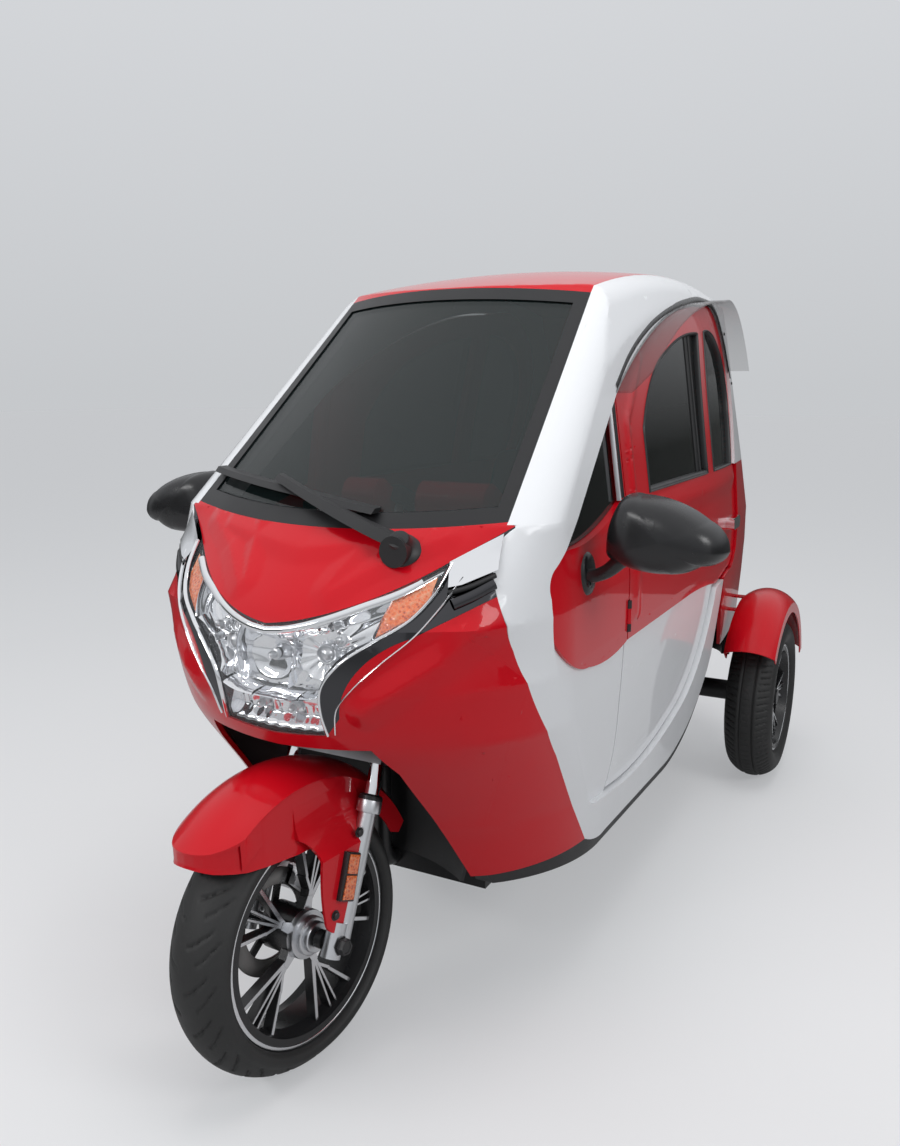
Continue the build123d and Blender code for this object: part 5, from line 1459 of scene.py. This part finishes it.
front_side = traced(
    (838, 562), ((818, 600), (842, 633)), (1118, 648), (1233, 996),
    ((1273, 1008), (1296, 983)), (1213, 602), ((1203, 564), (1180, 562)),
)
rear_side = traced(
    (1472, 541), ((1451, 580), (1477, 625)), (1743, 638), (1798, 1006),
    ((1837, 1018), (1858, 988)), (1847, 600), (1847, 541),
)
for node, outline, half, channels in (
    ("front_seat", front_side, 204, (-135, -45, 45, 135)),
    ("rear_seat", rear_side, 288, (-180, 0, 180)),
):
    parts = [seat_skin(outline, half, channels)]
    seat = add_piece(node + "_cushion", parts, leather.material, "body", "seat_cover", 60)
    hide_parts(node)

# %% [markdown]
# ## Studio floor and backdrop
#
# A plain pale floor and soft light. Camera, glossy and transmitted rays see a pale
# backdrop that is darker near the horizon, so that paint and chrome have something to
# mirror, while the light itself comes from a dim even sky and a few panels. The floor
# glows for the same rays, so that it meets the backdrop without a line.

# %% Floor
FLOOR_HALF = 40.0
floor_finish = Finish("studio_floor", Base_Color=(0.46, 0.46, 0.46, 1), Roughness=0.9,
                      Specular_IOR_Level=0.1, Emission_Strength=1.0)
camera_ray, glossy_ray, clear_ray = (
    floor_finish.ray(kind) for kind in ("Camera", "Glossy", "Transmission")
)
seen = camera_ray + glossy_ray * 0.3 + clear_ray
glow = floor_finish.mix(seen, (0, 0, 0, 1), (0.33, 0.335, 0.345, 1))
floor_finish.feed("Emission Color", glow)
steps = np.linspace(-FLOOR_HALF, FLOOR_HALF, 9)
x, y = np.meshgrid(steps, steps)
flat = surface(np.stack([x, y, np.zeros_like(x)], axis=-1), looks=(0, 0, 1))
floor = new_object("floor", mesh_of("floor", [flat], floor_finish.material))
print("floor:", 2 * FLOOR_HALF, "m square")

# %% Backdrop and even light
BACKDROP = ((0.0, (0.565, 0.58, 0.60, 1)), (0.35, (0.66, 0.675, 0.70, 1)),
            (0.75, (0.86, 0.87, 0.89, 1)))
EVEN_LIGHT = (0.93, 0.96, 1.0, 1)
world = bpy.data.worlds.new("studio_sky")
bpy.context.scene.world = world
world.use_nodes = True
sky = Graph(world.node_tree)
sky.tree.nodes.clear()
rise = sky.node("SeparateXYZ", {}, {0: sky.node("TexCoord", output="Generated")}, "Z")
even = sky.node("Background", {}, {"Color": EVEN_LIGHT, "Strength": 0.5})
backdrop = sky.node("Background", {}, {"Color": sky.ramp(BACKDROP, rise), "Strength": 1.0})
seen = sky.ray("Camera")
for kind in ("Glossy", "Transmission"):
    seen = seen.maths("MAXIMUM", seen, sky.ray(kind))
sky.node("OutputWorld", {}, {0: sky.node("MixShader", {}, {0: seen, 1: even, 2: backdrop})})
print("backdrop stops:", len(BACKDROP))

# %% [markdown]
# ## Dark cards
#
# Two dark cards stand outside the picture, as a photographer puts them beside a shiny
# car. Only mirror-like rays meet them, so the glass and the paint on the sides keep their
# depth. Each is a curved wall that fades out towards its top.

# %% Cards
CARDS = (
    ((3.4, -1.0), (2.9, 1.4), (2.0, 2.8), (0.6, 3.4), (-0.6, 3.4), (-2.0, 2.8), (-2.9, 1.4),
     (-3.4, -0.5)),
    ((-1.5, -5.0), (-2.9, -3.6), (-4.0, -1.5)),
)
card_finish = Finish("studio_card", Base_Color=(0.10, 0.105, 0.10, 1), Roughness=0.9)
card_finish.feed("Alpha", card_finish.fade(1.1, 1.9, 1.0, 0.0))
for number, line in enumerate(CARDS):
    foot = curve(line, 40)
    rows = [np.column_stack([foot, np.full(40, h)]) for h in (0.02, 1.0, 1.9)]
    mesh = mesh_of(f"card_{number}", [surface(np.array(rows))], card_finish.material)
    card = new_object(mesh.name, mesh)
    card.visible_camera = card.visible_diffuse = card.visible_shadow = False
    card.visible_transmission = False
    print(card.name, "from", line[0], "to", line[-1])

# %% [markdown]
# ## Lights
#
# One panel overhead gives the main light. It is hidden from reflections, because it would
# cover the windscreen. A panel at the left and a strip in front draw the highlights. Their
# powers are set so that a colour comes out about as it is written.

# %% Lights
LIGHTS = (
    ("top_panel", (0.3, -0.6, 4.4), (0, 0, 0.6), (2.4, 2.4), 66.0, False),
    ("left_panel", (3.8, -1.4, 3.0), (0, 0.2, 0.7), (1.8, 1.2), 46.0, True),
    ("front_strip", (-1.9, -4.0, 2.9), (0, -0.3, 0.8), (3.0, 0.45), 52.0, True),
)
for name, place, target, size, power, mirrored in LIGHTS:
    lamp = bpy.data.lights.new(name, "AREA")
    lamp.shape = "RECTANGLE"
    lamp.size, lamp.size_y = size
    lamp.energy = power
    holder = bpy.data.objects.new(name, lamp)
    holder.location = place
    holder.visible_glossy = mirrored
    aim = Vector(target) - Vector(place)
    holder.rotation_euler = aim.to_track_quat("-Z", "Y").to_euler()
    bpy.context.collection.objects.link(holder)
bpy.context.scene.view_settings.view_transform = "Standard"
print("lights:", len(LIGHTS))

# %% [markdown]
